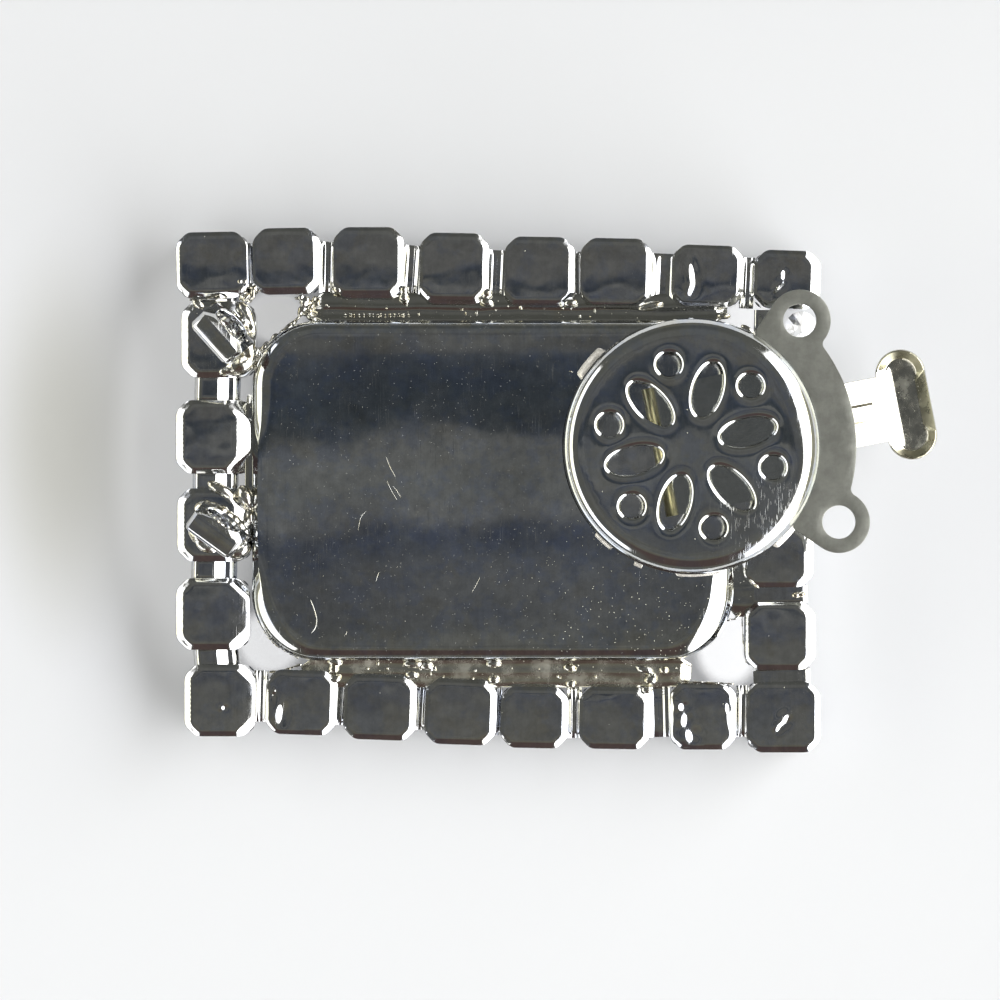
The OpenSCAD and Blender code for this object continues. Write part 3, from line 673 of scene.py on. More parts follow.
# ---------------------------------------------------------------- centre setting
def make_setting():
    M = Mesh()
    cx, cy = SET_AT
    base = rounded_rect(SET_W, SET_D, SET_R, 0.35)
    dirs = [Vector((q[0] - p[0], q[1] - p[1])) for p, q in zip(base, inset(base, 1.0))]

    def bell(v, at, width):
        return math.exp(-((v - at) / width) ** 2)

    def reach(x, y):
        """How far in the shoulder starts to fall: wide round the corners."""
        return 0.74 + 0.55 * flare(x, y)

    def flare(x, y):
        """1 where the shoulder is a long shallow slope."""
        t = 1.0 * bell(x, 12.9, 2.8) * bell(y, -6.6, 3.8)
        t += 0.62 * bell(x, -12.6, 2.2) * bell(y, -7.2, 2.6)
        t += 0.50 * bell(x, -12.9, 1.6) * bell(y, 5.4, 2.2)
        return min(1.0, t)

    def square(x, y):
        """1 where the shoulder is blunt, in the middle of the left side."""
        left = bell(x, -13.15, 1.2) / (1 + math.exp((abs(y + 1.0) - 4.2) * 2.5))
        return min(1.0, left * 1.2)

    def rr(t, z):
        return [(p[0] + d.x * t + cx, p[1] + d.y * t + cy, z) for p, d in zip(base, dirs)]

    def back(x, y):
        return SET_TOP - 0.03 + 0.0045 * noise.noise(Vector((x * 0.16, y * 0.16, 1.0))) + 0.0016 * noise.noise(Vector((x * 0.5, y * 0.5, 5.0)))
    rings = [rr(1.9, 1.25), rr(1.6, 1.15), rr(0.25, 1.15), rr(0.06, 1.22), rr(0.0, 1.45), rr(0.0, 3.0), rr(0.0, 4.40)]
    for k in range(1, 15):
        ring = []
        for p, d in zip(base, dirs):
            w, sq = reach(*p), square(*p)
            q = math.radians(90 * k / 15)
            t = w * (1 - math.cos(q))
            z = 4.46 + 0.70 * math.sin(q)
            t2 = w * (k / 15) ** 1.1 * 0.62
            z2 = 4.46 + 0.68 * min(1.0, (k / 11))
            t, z = t * (1 - sq) + t2 * sq, z * (1 - sq) + z2 * sq
            # long slope: a short steep edge, then about 22 degrees up to the flat
            fl = flare(*p)
            k2 = k / 15
            t3 = w * (0.30 * k2 / 0.35 if k2 < 0.35 else 0.30 + 0.70 * (k2 - 0.35) / 0.65)
            sl = 0.40 if p[0] > 0 else 0.58
            z3 = 5.162 - sl * (w - t3) if k2 >= 0.35 else 5.162 - sl * w * 0.70 - (0.35 - k2) * (1.4 if p[0] > 0 else 0.7)
            t, z = t * (1 - fl) + t3 * fl, z * (1 - fl) + z3 * fl
            ring.append((p[0] + d.x * t + cx, p[1] + d.y * t + cy, z))
        rings.append(ring)
    last = [(p[0] + d.x * (reach(*p) + 0.03) + cx, p[1] + d.y * (reach(*p) + 0.03) + cy, 5.162) for p, d in zip(base, dirs)]
    rings.append(last)
    M.strip(rings)
    loop = [(p[0], p[1]) for p in last]
    edge = inset(loop, 0.32)
    pts = grid_points((cx - 13, cy - 9), (cx + 13, cy + 9), 0.42,
                      lambda x, y: inside((x, y), edge)) + edge + inset(loop, 0.15)

    def zf(x, y):
        d = min(13.15 - 0.77 - abs(x - cx), 9.3 - 0.77 - abs(y - cy))
        t = max(0.0, min(1.0, d / 0.9))
        return back(x, y) * t + (1 - t) * 5.162 if d < 0.9 else back(x, y)
    v, f, loops = patch(loop, [], pts, zf)
    for k in loops[0]:
        v[k] = (v[k][0], v[k][1], 5.162)
    M.add(v, f)
    # seat behind the stone, seen past its edge from the front
    M.strip([rr(1.9, 1.25), rr(0.62, 1.45), rr(0.62, 2.0), rr(1.4, 4.6)])
    M.cap([tuple(p) for p in rr(1.4, 4.6)], 0)
    # claws over the stone
    for x, y, nx, ny in ([(sx * 11.75, sy * 7.95, -sx * .75, -sy * .66) for sx in (-1, 1) for sy in (-1, 1)]
                         + [(x, sy * 9.05, 0, -sy) for x in (-6.2, 0, 6.2) for sy in (-1, 1)]
                         + [(sx * 12.9, y, -sx, 0) for y in (-3.4, 3.4) for sx in (-1, 1)]):
        X, Y = cx + x, cy + y
        path = spline([(X, Y, 1.75), (X + nx * .12, Y + ny * .12, 1.18), (X + nx * .55, Y + ny * .55, 0.86),
                       (X + nx * 1.25, Y + ny * 1.25, 0.78), (X + nx * 1.9, Y + ny * 1.9, 0.70), (X + nx * 2.15, Y + ny * 2.15, 0.80)], 4)
        k = len(path)
        tube(M, path, [0.50 - 0.16 * j / k if j < k - 3 else 0.30 - 0.09 * (j - k + 3) for j in range(k)], 12, 0, (1.0, 0.5))
    ob = build("centre_setting", M.v, M.f, [M_BACK], "frame", ["soldered_frame"], doubles=0.002)
    outward(ob)
    weighted(ob, 40)
    return ob


def make_claws():
    """Four small claws on each border cup."""
    M = Mesh()
    for cx, cy, w, d, turn in CUPS:
        for sx in (-1, 1):
            for sy in (-1, 1):
                dirv = Vector((sx * (w / 2 - 0.42), sy * (d / 2 - 0.42), 0))
                n = dirv.normalized()
                r0 = dirv.length
                path = spline([(n * (r0)).to_tuple()[:2] + (1.55,), (n * (r0 - .02)).to_tuple()[:2] + (1.12,),
                               (n * (r0 - .35)).to_tuple()[:2] + (0.90,), (n * 1.45).to_tuple()[:2] + (0.93,),
                               (n * 1.12).to_tuple()[:2] + (1.06,)], 3)
                pts = [Vector((cx + p.x, cy + p.y, p.z)) for p in path]
                k = len(pts)
                tube(M, pts, [0.34 - 0.10 * j / k if j < k - 2 else 0.22 - 0.08 * (j - k + 2) for j in range(k)], 10, 0, (1.0, 0.6))
    ob = build("border_claws", M.v, M.f, [M_CUP], "frame")
    outward(ob)
    return ob


# ---------------------------------------------------------------- links between the cups
def make_links():
    M = Mesh()
    for i in range(24):
        a, b = CUPS[i], CUPS[(i + 1) % 24]
        dx, dy = b[0] - a[0], b[1] - a[1]
        L = math.hypot(dx, dy)
        ux, uy = dx / L, dy / L
        half = (L - (a[2 if abs(dx) > abs(dy) else 3] + b[2 if abs(dx) > abs(dy) else 3]) / 2) / 2 + 0.10
        mx, my = (a[0] + b[0]) / 2, (a[1] + b[1]) / 2
        row = abs(dx) > abs(dy)
        # rows above and below: a saddle set a little towards the centre stone
        inner = (0 if not row else (-0.28 if my > 0 else 0.28))
        wide = 1.40 if row else (1.25 if mx < 0 else 1.55)
        if i == 7:
            # kept to the left, clear of the small stone
            wide, mx = 0.60, mx - 1.15
        my += inner
        rows = []
        nu, nv = 20, 26
        for j in range(nv + 1):
            t = -1 + 2 * j / nv
            r = []
            for k in range(nu + 1):
                s = -1 + 2 * k / nu
                if row:
                    # s runs from cup to cup, t across the row
                    e = abs(t) ** 4
                    z = 4.20 - 0.21 * (1 - s * s) * (1 - 0.4 * e) - 0.22 * e + 0.012 * math.sin(9 * s + i)
                    z -= (0.035 if i else 0.0) * math.exp(-((s * (1 if dx > 0 else -1) - 0.35) / 0.10) ** 2)
                else:
                    # a folded bar: flat, then a slope that faces +X, then flat again
                    X = t * (1 if uy < 0 else -1)
                    q = max(0.0, min(1.0, (X + 0.05) / 0.62))
                    if mx > 0:
                        z = 4.30 - 0.05 * math.exp(-((1 - abs(s)) / 0.12) ** 2) - 0.10 * abs(t) ** 9 + 0.01 * math.sin(5 * t)
                    else:
                        z = 4.26 - 0.30 * q * q * (3 - 2 * q) - 0.06 * math.exp(-((1 - abs(s)) / 0.16) ** 2) - 0.45 * abs(t) ** 9
                px_ = mx + ux * s * half - uy * t * wide
                py_ = my + uy * s * half + ux * t * wide
                r.append((px_, py_, z))
            rows.append(r)
        M.strip(rows, closed=False)
        # underside and ends
        low = [[(p[0], p[1], 3.1) for p in r] for r in (rows[0], rows[-1])]
        M.strip(low, closed=False)
        M.strip([rows[0], low[0]], closed=False)
        M.strip([rows[-1], low[1]], closed=False)
        M.strip([[r[0] for r in rows], [(r[0][0], r[0][1], 3.1) for r in rows]], closed=False)
        M.strip([[r[-1] for r in rows], [(r[-1][0], r[-1][1], 3.1) for r in rows]], closed=False)
    ob = build("border_links", M.v, M.f, [M_CUP], "frame", doubles=0.002)
    outward(ob)
    ob.data.set_sharp_from_angle(angle=math.radians(50))
    return ob


# ---------------------------------------------------------------- solder
def blob_mesh(name, blobs, voxel, wob, mat, body="frame", smooth=2):
    """Blobs, each (x, y, z, rx, ry, rz, turn), melted into one skin."""
    bm = bmesh.new()
    for (x, y, z, rx, ry, rz, turn) in blobs:
        m = (Matrix.Translation((x * MM, y * MM, z * MM)) @ Matrix.Rotation(math.radians(turn), 4, "Z")
             @ Matrix.Diagonal((rx * MM, ry * MM, rz * MM, 1)))
        bmesh.ops.create_icosphere(bm, subdivisions=2, radius=1.0, matrix=m)
    me = bpy.data.meshes.new(name)
    bm.to_mesh(me)
    bm.free()
    ob = bpy.data.objects.new(name, me)
    bpy.context.scene.collection.objects.link(ob)
    r = ob.modifiers.new("remesh", "REMESH")
    r.mode = "VOXEL"
    r.voxel_size = voxel * MM
    s = ob.modifiers.new("smooth", "SMOOTH")
    s.factor, s.iterations = 0.6, smooth
    dg = bpy.context.evaluated_depsgraph_get()
    me2 = bpy.data.meshes.new_from_object(ob.evaluated_get(dg))
    ob.modifiers.clear()
    ob.data = me2
    ob.data.name = name
    for v in me2.vertices:
        p = v.co / MM
        k = noise.noise(p * 1.7) * 0.6 + noise.noise(p * 4.0) * 0.4
        v.co += v.normal * (k * wob * MM)
    me2.polygons.foreach_set("use_smooth", [True] * len(me2.polygons))
    me2.materials.clear()
    me2.materials.append(mat)
    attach(ob, body)
    return ob


def solder_band(M, path, prof, seed, rough=0.05, mat=0):
    """A run of solder: a cross-section (across, height) swept along path points (x, y)."""
    P = [Vector((p[0], p[1], 0)) for p in path]
    rows = []
    n = len(P)
    for i, p in enumerate(P):
        t = (P[min(i + 1, n - 1)] - P[max(i - 1, 0)]).normalized()
        side = Vector((-t.y, t.x, 0))
        end = min(i, n - 1 - i)
        k = 1.0 if end > 3 else (0.55 + 0.11 * end)
        r = []
        for c, h in prof:
            w = noise.noise(Vector((p.x * 1.1 + seed, p.y * 1.1, h * 2 + c))) * rough + noise.noise(Vector((p.x * 3.1, p.y * 3.1 + seed, c * 3))) * rough * 0.5
            q = p + side * (c * k + w * 0.7)
            r.append((q.x, q.y, h + (w if h > 3.6 else 0) - (0 if end > 3 else 0.06 * (4 - end))))
        rows.append(r)
    M.strip([list(c) for c in zip(*rows)], closed=False, mat=mat)
    M.strip([[r[0] for r in rows], [(r[0][0], r[0][1], 3.2) for r in rows]], closed=False, mat=mat)
    M.strip([[r[-1] for r in rows], [(r[-1][0], r[-1][1], 3.2) for r in rows]], closed=False, mat=mat)
    for r in (rows[0], rows[-1]):
        M.strip([r, [(q[0], q[1], 3.2) for q in r]], closed=False, mat=mat)
    M.strip([[(r[0][0], r[0][1], 3.2) for r in rows], [(r[-1][0], r[-1][1], 3.2) for r in rows]], closed=False, mat=mat)


def make_solder():
    M = Mesh()
    # above the setting: a dished run with two low ridges
    top = [(-13.35 + 22.75 * k / 140, 9.95 + 0.03 * math.sin(k * .2)) for k in range(141)]
    solder_band(M, top, [(-.86, 4.36), (-.74, 4.42), (-.62, 4.40), (-.5, 4.30), (-.3, 4.22), (-.08, 4.20), (.0, 4.26), (.08, 4.27), (.18, 4.20), (.4, 4.14), (.62, 4.10), (.8, 4.0)], 1.0, 0.03)
    # below: painted light, a brighter copy of the same solder, with a step
    low = [(-13.85 + 21.25 * k / 150, -9.98 - 0.12 * math.exp(-k / 5) + 0.02 * math.sin(k * .23)) for k in range(151)]
    solder_band(M, low, [(-.80, 4.10), (-.66, 4.20), (-.44, 4.215), (-.16, 4.225), (-.07, 4.265), (.02, 4.275), (.2, 4.27), (.42, 4.265), (.54, 4.29), (.62, 4.33), (.72, 4.34), (.80, 4.33)], 5.0, 0.012, mat=1)
    # beside the right column, flush and flat
    right = [(10.50, -6.95 + 8.6 * k / 56) for k in range(57)]
    solder_band(M, right, [(-.95, 4.15), (-.85, 4.24), (-.4, 4.27), (.0, 4.28), (.4, 4.28), (.95, 4.26), (1.15, 4.2)], 13.0, 0.02)
    # dark strip between the left column and the setting
    left = [(-16.70, -1.0 + 6.2 * k / 44) for k in range(45)]
    solder_band(M, left, [(.30, 4.22), (.26, 4.26), (.0, 4.27), (-.26, 4.27), (-.38, 4.22)], 23.0, 0.008)
    ob = build("solder_runs", M.v, M.f, [M_RUN, M_RUN_PAINTED_LIT], "frame", face_mat=M.m, doubles=0.001)
    outward(ob)
    ob.data.set_sharp_from_angle(angle=math.radians(50))
    B = []

    def at(x, y, z, rx, ry=None, rz=None, turn=0):
        p = px(x, y, z)
        ry = rx if ry is None else ry
        rz = min(rx, ry) if rz is None else rz
        B.append((p[0], p[1], p[2], rx, ry, rz, turn))
    r = random.Random(3)
    # bright drops where the cups meet the runs
    for x, y, w in ((335, 662, .45), (334, 669, .3), (413, 664, .55), (427, 666, .35), (494, 664, .45), (570, 668, .40), (645, 670, .5), (651, 680, .4), (664, 670, .3), (412, 675, .4), (335, 679, .4), (494, 680, .35), (571, 684, .32), (647, 690, .35)):
        at(x, y, 4.34, w, .24, .20, r.uniform(-15, 15))
    for x, y, w in ((404, 297, .30), (487, 302, .42), (571, 303, .4), (651, 306, .75), (338, 289, .3), (487, 293, .34), (404, 290, .26)):
        at(x, y, 4.30, w, .26, .22, r.uniform(-20, 20))
    for k in range(15):
        at(346 + k * 4.4 + r.uniform(-1, 1), 314 + r.uniform(-.6, .6), 4.36, .09, .06, .06)
    for k in range(26):
        at(r.uniform(320, 600), r.uniform(304, 318), 4.32, r.uniform(.04, .09))
    for k in range(30):
        at(r.uniform(320, 690), r.uniform(664, 680), 4.34, r.uniform(.05, .11))
    # crumbs at the corners
    for k in range(26):
        at(r.uniform(297, 317), r.uniform(297, 320), 4.2 + r.uniform(-.3, .22), r.uniform(.14, .30), r.uniform(.10, .22), .16, r.uniform(0, 180))
    for k in range(34):
        t = r.random()
        at(258 + 38 * t + r.uniform(-3, 3), 356 - 36 * t + r.uniform(-3, 3), 4.15 + r.uniform(-.3, .25), r.uniform(.16, .36), r.uniform(.08, .18), .16, 44 + r.uniform(-20, 20))
    for k in range(20):
        at(r.uniform(238, 256), r.uniform(281, 301), 4.2 + r.uniform(-.2, .22), r.uniform(.18, .36), r.uniform(.12, .22), .18, r.uniform(20, 100))
    # thin beaded lines
    def line(pts, z, r0, r1, gap=1.0):
        for (xa, ya), (xb, yb) in zip(pts, pts[1:]):
            d = math.hypot(xb - xa, yb - ya)
            m = max(1, int(d / (2.0 * gap)))
            for j in range(m):
                t = (j + r.uniform(-.2, .2)) / m
                w = r.uniform(r0, r1)
                at(xa + (xb - xa) * t, ya + (yb - ya) * t, z, w * 1.2, w, w * .8)
    line([(190, 300), (205, 299), (220, 294), (232, 287), (243, 281)], 4.36, .07, .10)
    line([(243, 281), (252, 287), (262, 292)], 4.3, .07, .10)
    line([(270, 672), (285, 670), (302, 664)], 4.2, .06, .10)
    line([(258, 620), (266, 634), (276, 645), (290, 653), (300, 659)], 4.25, .06, .11, 1.3)
    line([(681, 681), (700, 682), (734, 684)], 4.5, .07, .09)
    line([(557.5, 444), (560, 410), (565.6, 378)], 5.2, .02, .05, 1.3)
    line([(557.5, 444), (565, 492), (580, 530), (594, 557)], 5.2, .02, .045, 1.5)
    line([(570, 371), (575, 374)], 5.22, .05, .07)
    line([(674, 572), (695, 575), (726, 571)], 5.22, .04, .06)
    line([(742, 616), (743, 640), (746, 664)], 4.0, .05, .07)
    line([(727, 620), (735, 619), (742, 612)], 4.2, .07, .10)
    for k in range(14):
        at(r.uniform(248, 262), r.uniform(345, 372), 4.2 + r.uniform(-.2, .2), r.uniform(.12, .24))
    for k in range(18):
        at(r.uniform(253, 266), r.uniform(490, 560), 4.6 + r.uniform(-.2, .2), r.uniform(.08, .20))
    blob_mesh("solder_drops", B, 0.055, 0.015, M_SOLDER)
    H = Mesh()
    marks = [([(310.5, 600), (314, 609), (316.5, 619), (315.5, 627), (311.5, 633)], .026), ([(347, 631), (346, 634), (344, 636)], .014),
             ([(386, 457), (390, 467), (396, 478)], .012), ([(387, 481), (391, 490), (397, 500)], .013), ([(393, 486), (397, 491), (401, 498)], .010),
             ([(358, 530), (361, 517), (367, 511), (373, 510)], .011), ([(376, 581), (377.5, 576), (379, 572)], .014), ([(472, 592), (476, 585), (480, 577)], .011)]
    # single bright specks
    marks += [([(x - .4, y), (x, y), (x + .4, y)], .030) for x, y in ((397, 567), (323, 576), (293, 583), (355, 599), (297, 615), (405, 621), (491, 567),
                                                                     (499, 582), (290, 460), (293, 464))]
    for pts, rad in marks:
        path = [Vector(px(x, y, 5.19)) for x, y in pts]
        path = spline(path, 6)
        tube(H, path, [rad * min(1.0, .4 + j * .3, .4 + (len(path) - 1 - j) * .3) for j in range(len(path))], 6, 0, (1.0, .7))
    h = build("back_scratches", H.v, H.f, [M_SOLDER], "frame")
    outward(h)
    # small bright dash and bead beside the right column
    C = []
    for x, y, rx, ry, tn in ((752, 582, .26, .11, -50), (756, 586, .22, .10, -40), (796, 595, .26, .19, 10), (802, 594, .22, .19, 10),
                             (748, 330, .5, .20, -35), (724, 316, .4, .2, 0)):
        p = px(x, y, 4.42)
        C.append((p[0], p[1], 4.42, rx, ry, .20, tn))
    blob_mesh("solder_tack", C, 0.05, 0.008, M_SOLDER)
    return ob


# ---------------------------------------------------------------- strand loops
def make_loops():
    M = Mesh()
    for (x, y, az, tilt) in ((-18.09, 8.56, 42, 24), (-18.42, -2.15, 54, 16)):
        c = Vector((x, y, CUP_TOP + 1.35))
        R = Matrix.Rotation(math.radians(az), 4, "Z") @ Matrix.Rotation(math.radians(-tilt), 4, "Y")
        m = 128
        L = 0.70

        def ring(r, u, top=1.30, side=1.52):
            """Round ring cut flat above and on its flanks; u runs along the bore."""
            out = []
            for k in range(m):
                a = 2 * math.pi * k / m
                v, z = r * math.sin(a), r * math.cos(a)
                v = max(-side, min(side, v))
                z = min(top, z)
                p = R @ Vector((u, v, z)) + c
                out.append((p.x, p.y, p.z))
            return out
        rings = [ring(1.0, -L + .06), ring(1.06, -L), ring(1.60, -L, 1.12, 1.34), ring(1.68, -L + .02, 1.20, 1.40), ring(1.80, -L + .16, 1.285, 1.50), ring(1.85, -L + .24),
                 ring(1.85, L - .27), ring(1.80, L - .235, 1.275, 1.49), ring(1.20, L - .045, 1.045, 1.12), ring(1.14, L - .02, 1.03, 1.08),
                 ring(1.08, L - .01), ring(1.03, L - .03), ring(1.0, L - .10), ring(.98, L - .5), ring(.98, 0.0), ring(1.0, -L + .06)]
        M.strip(rings)
    ob = build("strand_loops", M.v, M.f, [M_CUP], "frame", doubles=0.001)
    outward(ob)
    ob.data.set_sharp_from_angle(angle=math.radians(36))
    r = random.Random(11)
    B = []
    for x, y, az in ((-18.09, 8.56, 42), (-18.42, -2.15, 54)):
        ca, sa = math.cos(math.radians(az)), math.sin(math.radians(az))
        # fillet at the foot, mostly on the far side of the bore's face
        for k in range(7):
            t = -1.25 + 2.5 * k / 6
            n = 0.78 + r.uniform(-.04, .06) - 0.14 * t * t
            B.append((x + n * ca - t * sa, y + n * sa + t * ca, 4.52, .46, .46, r.uniform(.34, .42), 0))
        for k in range(9):
            t = r.uniform(-1.2, 1.2)
            B.append((x - .75 * ca - t * sa, y - .75 * sa + t * ca, 4.54, .26, .26, .14, 0))
        # crumbs left in the bore
        for k in range(6):
            t = -.6 + 1.2 * k / 5 + r.uniform(-.08, .08)
            B.append((x + .28 * ca - t * sa, y + .28 * sa + t * ca, 5.06 + abs(t) ** 2 * .35, .13, .13, .12, 0))
    # spilled solder beside the loops
    B += [(-19.35, -2.2, 4.30, .85, .95, .60, 12), (-19.1, -3.1, 4.35, .75, .40, .40, -24), (-19.3, -0.9, 4.35, .6, .4, .40, 30), (-18.3, 0.0, 4.4, .9, .35, .36, -30),
          (-17.3, -3.3, 4.36, .75, .50, .46, 20), (-16.95, -0.4, 4.40, .50, .75, .50, 25), (-16.7, -1.5, 4.4, .34, .5, .4, 0),
          (-17.25, 6.85, 4.30, .95, .62, .56, 25), (-16.8, 7.6, 4.36, .46, .7, .44, 20), (-18.0, 6.5, 4.4, .5, .3, .3, 10),
          (-16.9, 9.6, 4.36, .35, .8, .34, 30), (-16.6, 8.6, 4.34, .28, .6, .30, 0), (-19.5, 10.1, 4.4, .5, .25, .24, -40)]
    blob_mesh("loop_solder", B, 0.07, 0.012, M_SOLDER, smooth=4)
    return ob


# ---------------------------------------------------------------- clasp box
def make_box():
    M = Mesh()
    n = 192
    half = math.asin(3.8 / BOX_R)

    def arc(r, z, a0=0.0, a1=2 * math.pi, m=n):
        out = []
        for k in range(m):
            a = a0 + (a1 - a0) * k / (m - 1 if a1 - a0 < 6.2 else m)
            x, y, _ = clasp(r * math.cos(a), r * math.sin(a))
            out.append((x, y, z))
        return out
    # base: a low rounded foot ring with solder round it, floor and the lower wall
    M.strip([arc(BOX_R, 5.06), arc(BOX_R, 5.72), arc(BOX_R - .05, 5.75), arc(BOX_R - .35, 5.75),
             arc(BOX_R - .40, 5.70), arc(BOX_R - .40, 5.62), arc(BOX_R - .45, 5.60), arc(BOX_R - .60, 5.60), arc(BOX_R - .9, 5.60), arc(3.0, 5.60)])
    M.cap(arc(3.0, 5.60))
    # wall, open over the slot
    a0, a1 = half, 2 * math.pi - half
    M.strip([arc(BOX_R, 5.70, a0, a1), arc(BOX_R, 7.45, a0, a1), arc(BOX_R - .40, 7.45, a0, a1), arc(BOX_R - .40, 5.65, a0, a1)])
    for s in (a0, a1):
        q = []
        for r, z in ((BOX_R, 5.70), (BOX_R, 7.45), (BOX_R - .4, 7.45), (BOX_R - .4, 5.65)):
            x, y, _ = clasp(r * math.cos(s), r * math.sin(s))
            q.append((x, y, z))
        M.add(q, [(0, 1, 2, 3)])
    # part of the base that overhangs the border, closed underneath
    M.strip([arc(BOX_R, 5.06), arc(BOX_R - .05, 5.01), arc(6.4, 5.0)])
    # solder foot round the base in a few places, with the near-white foot material: a painted highlight on real solder
    for a0, a1, w, sl in ((131, 149, .36, .62), (222, 233, .12, .9), (244, 248.5, .16, .8), (309, 328, .30, .46), (262, 286, .10, .5)):
        rows = []
        for k in range(25):
            t = k / 24
            a = math.radians(a0 + (a1 - a0) * t)
            e = min(1.0, min(t, 1 - t) * 9 + .15)
            row = []
            for q, dz in ((6.76, .0), (6.99, .0), (7.01, -.01), (7.01 + w * .5, -.5), (7.01 + w * .93, -.93), (7.01 + w, -1.3), (7.01 + w, -2.2)):
                q = 6.76 + (q - 6.76) * (e if q > 6.8 else 1)
                h = 5.21 + sl * w + (dz * sl * w if dz > -1 else (-sl * w - .02 if dz > -2 else -sl * w - .2))
                row.append((BOX[0] + q * math.cos(a), BOX[1] + q * math.sin(a), h))
            rows.append(row)
        M.strip([list(c) for c in zip(*rows)], closed=False, mat=1)
    ob = build("box_body", M.v, M.f, [M_CUP, M_FOOT_PAINTED_HIGHLIGHT], "frame", face_mat=M.m, doubles=0.001)
    outward(ob)
    ob.data.set_sharp_from_angle(angle=math.radians(45))
    return ob


PETALS = [(3.17, 14 - 11 + 60 * k) for k in range(6)]
DOTS = [(4.58, 45.4 - 11 + 60 * k) for k in range(6)]


def ellipse_loop(cx, cy, l, w, turn, n):
    t = math.radians(turn)
    out = []
    for k in range(n):
        a = 2 * math.pi * k / n
        x, y = l / 2 * math.cos(a), w / 2 * math.sin(a)
        out.append((cx + x * math.cos(t) - y * math.sin(t), cy + x * math.sin(t) + y * math.cos(t)))
    return out


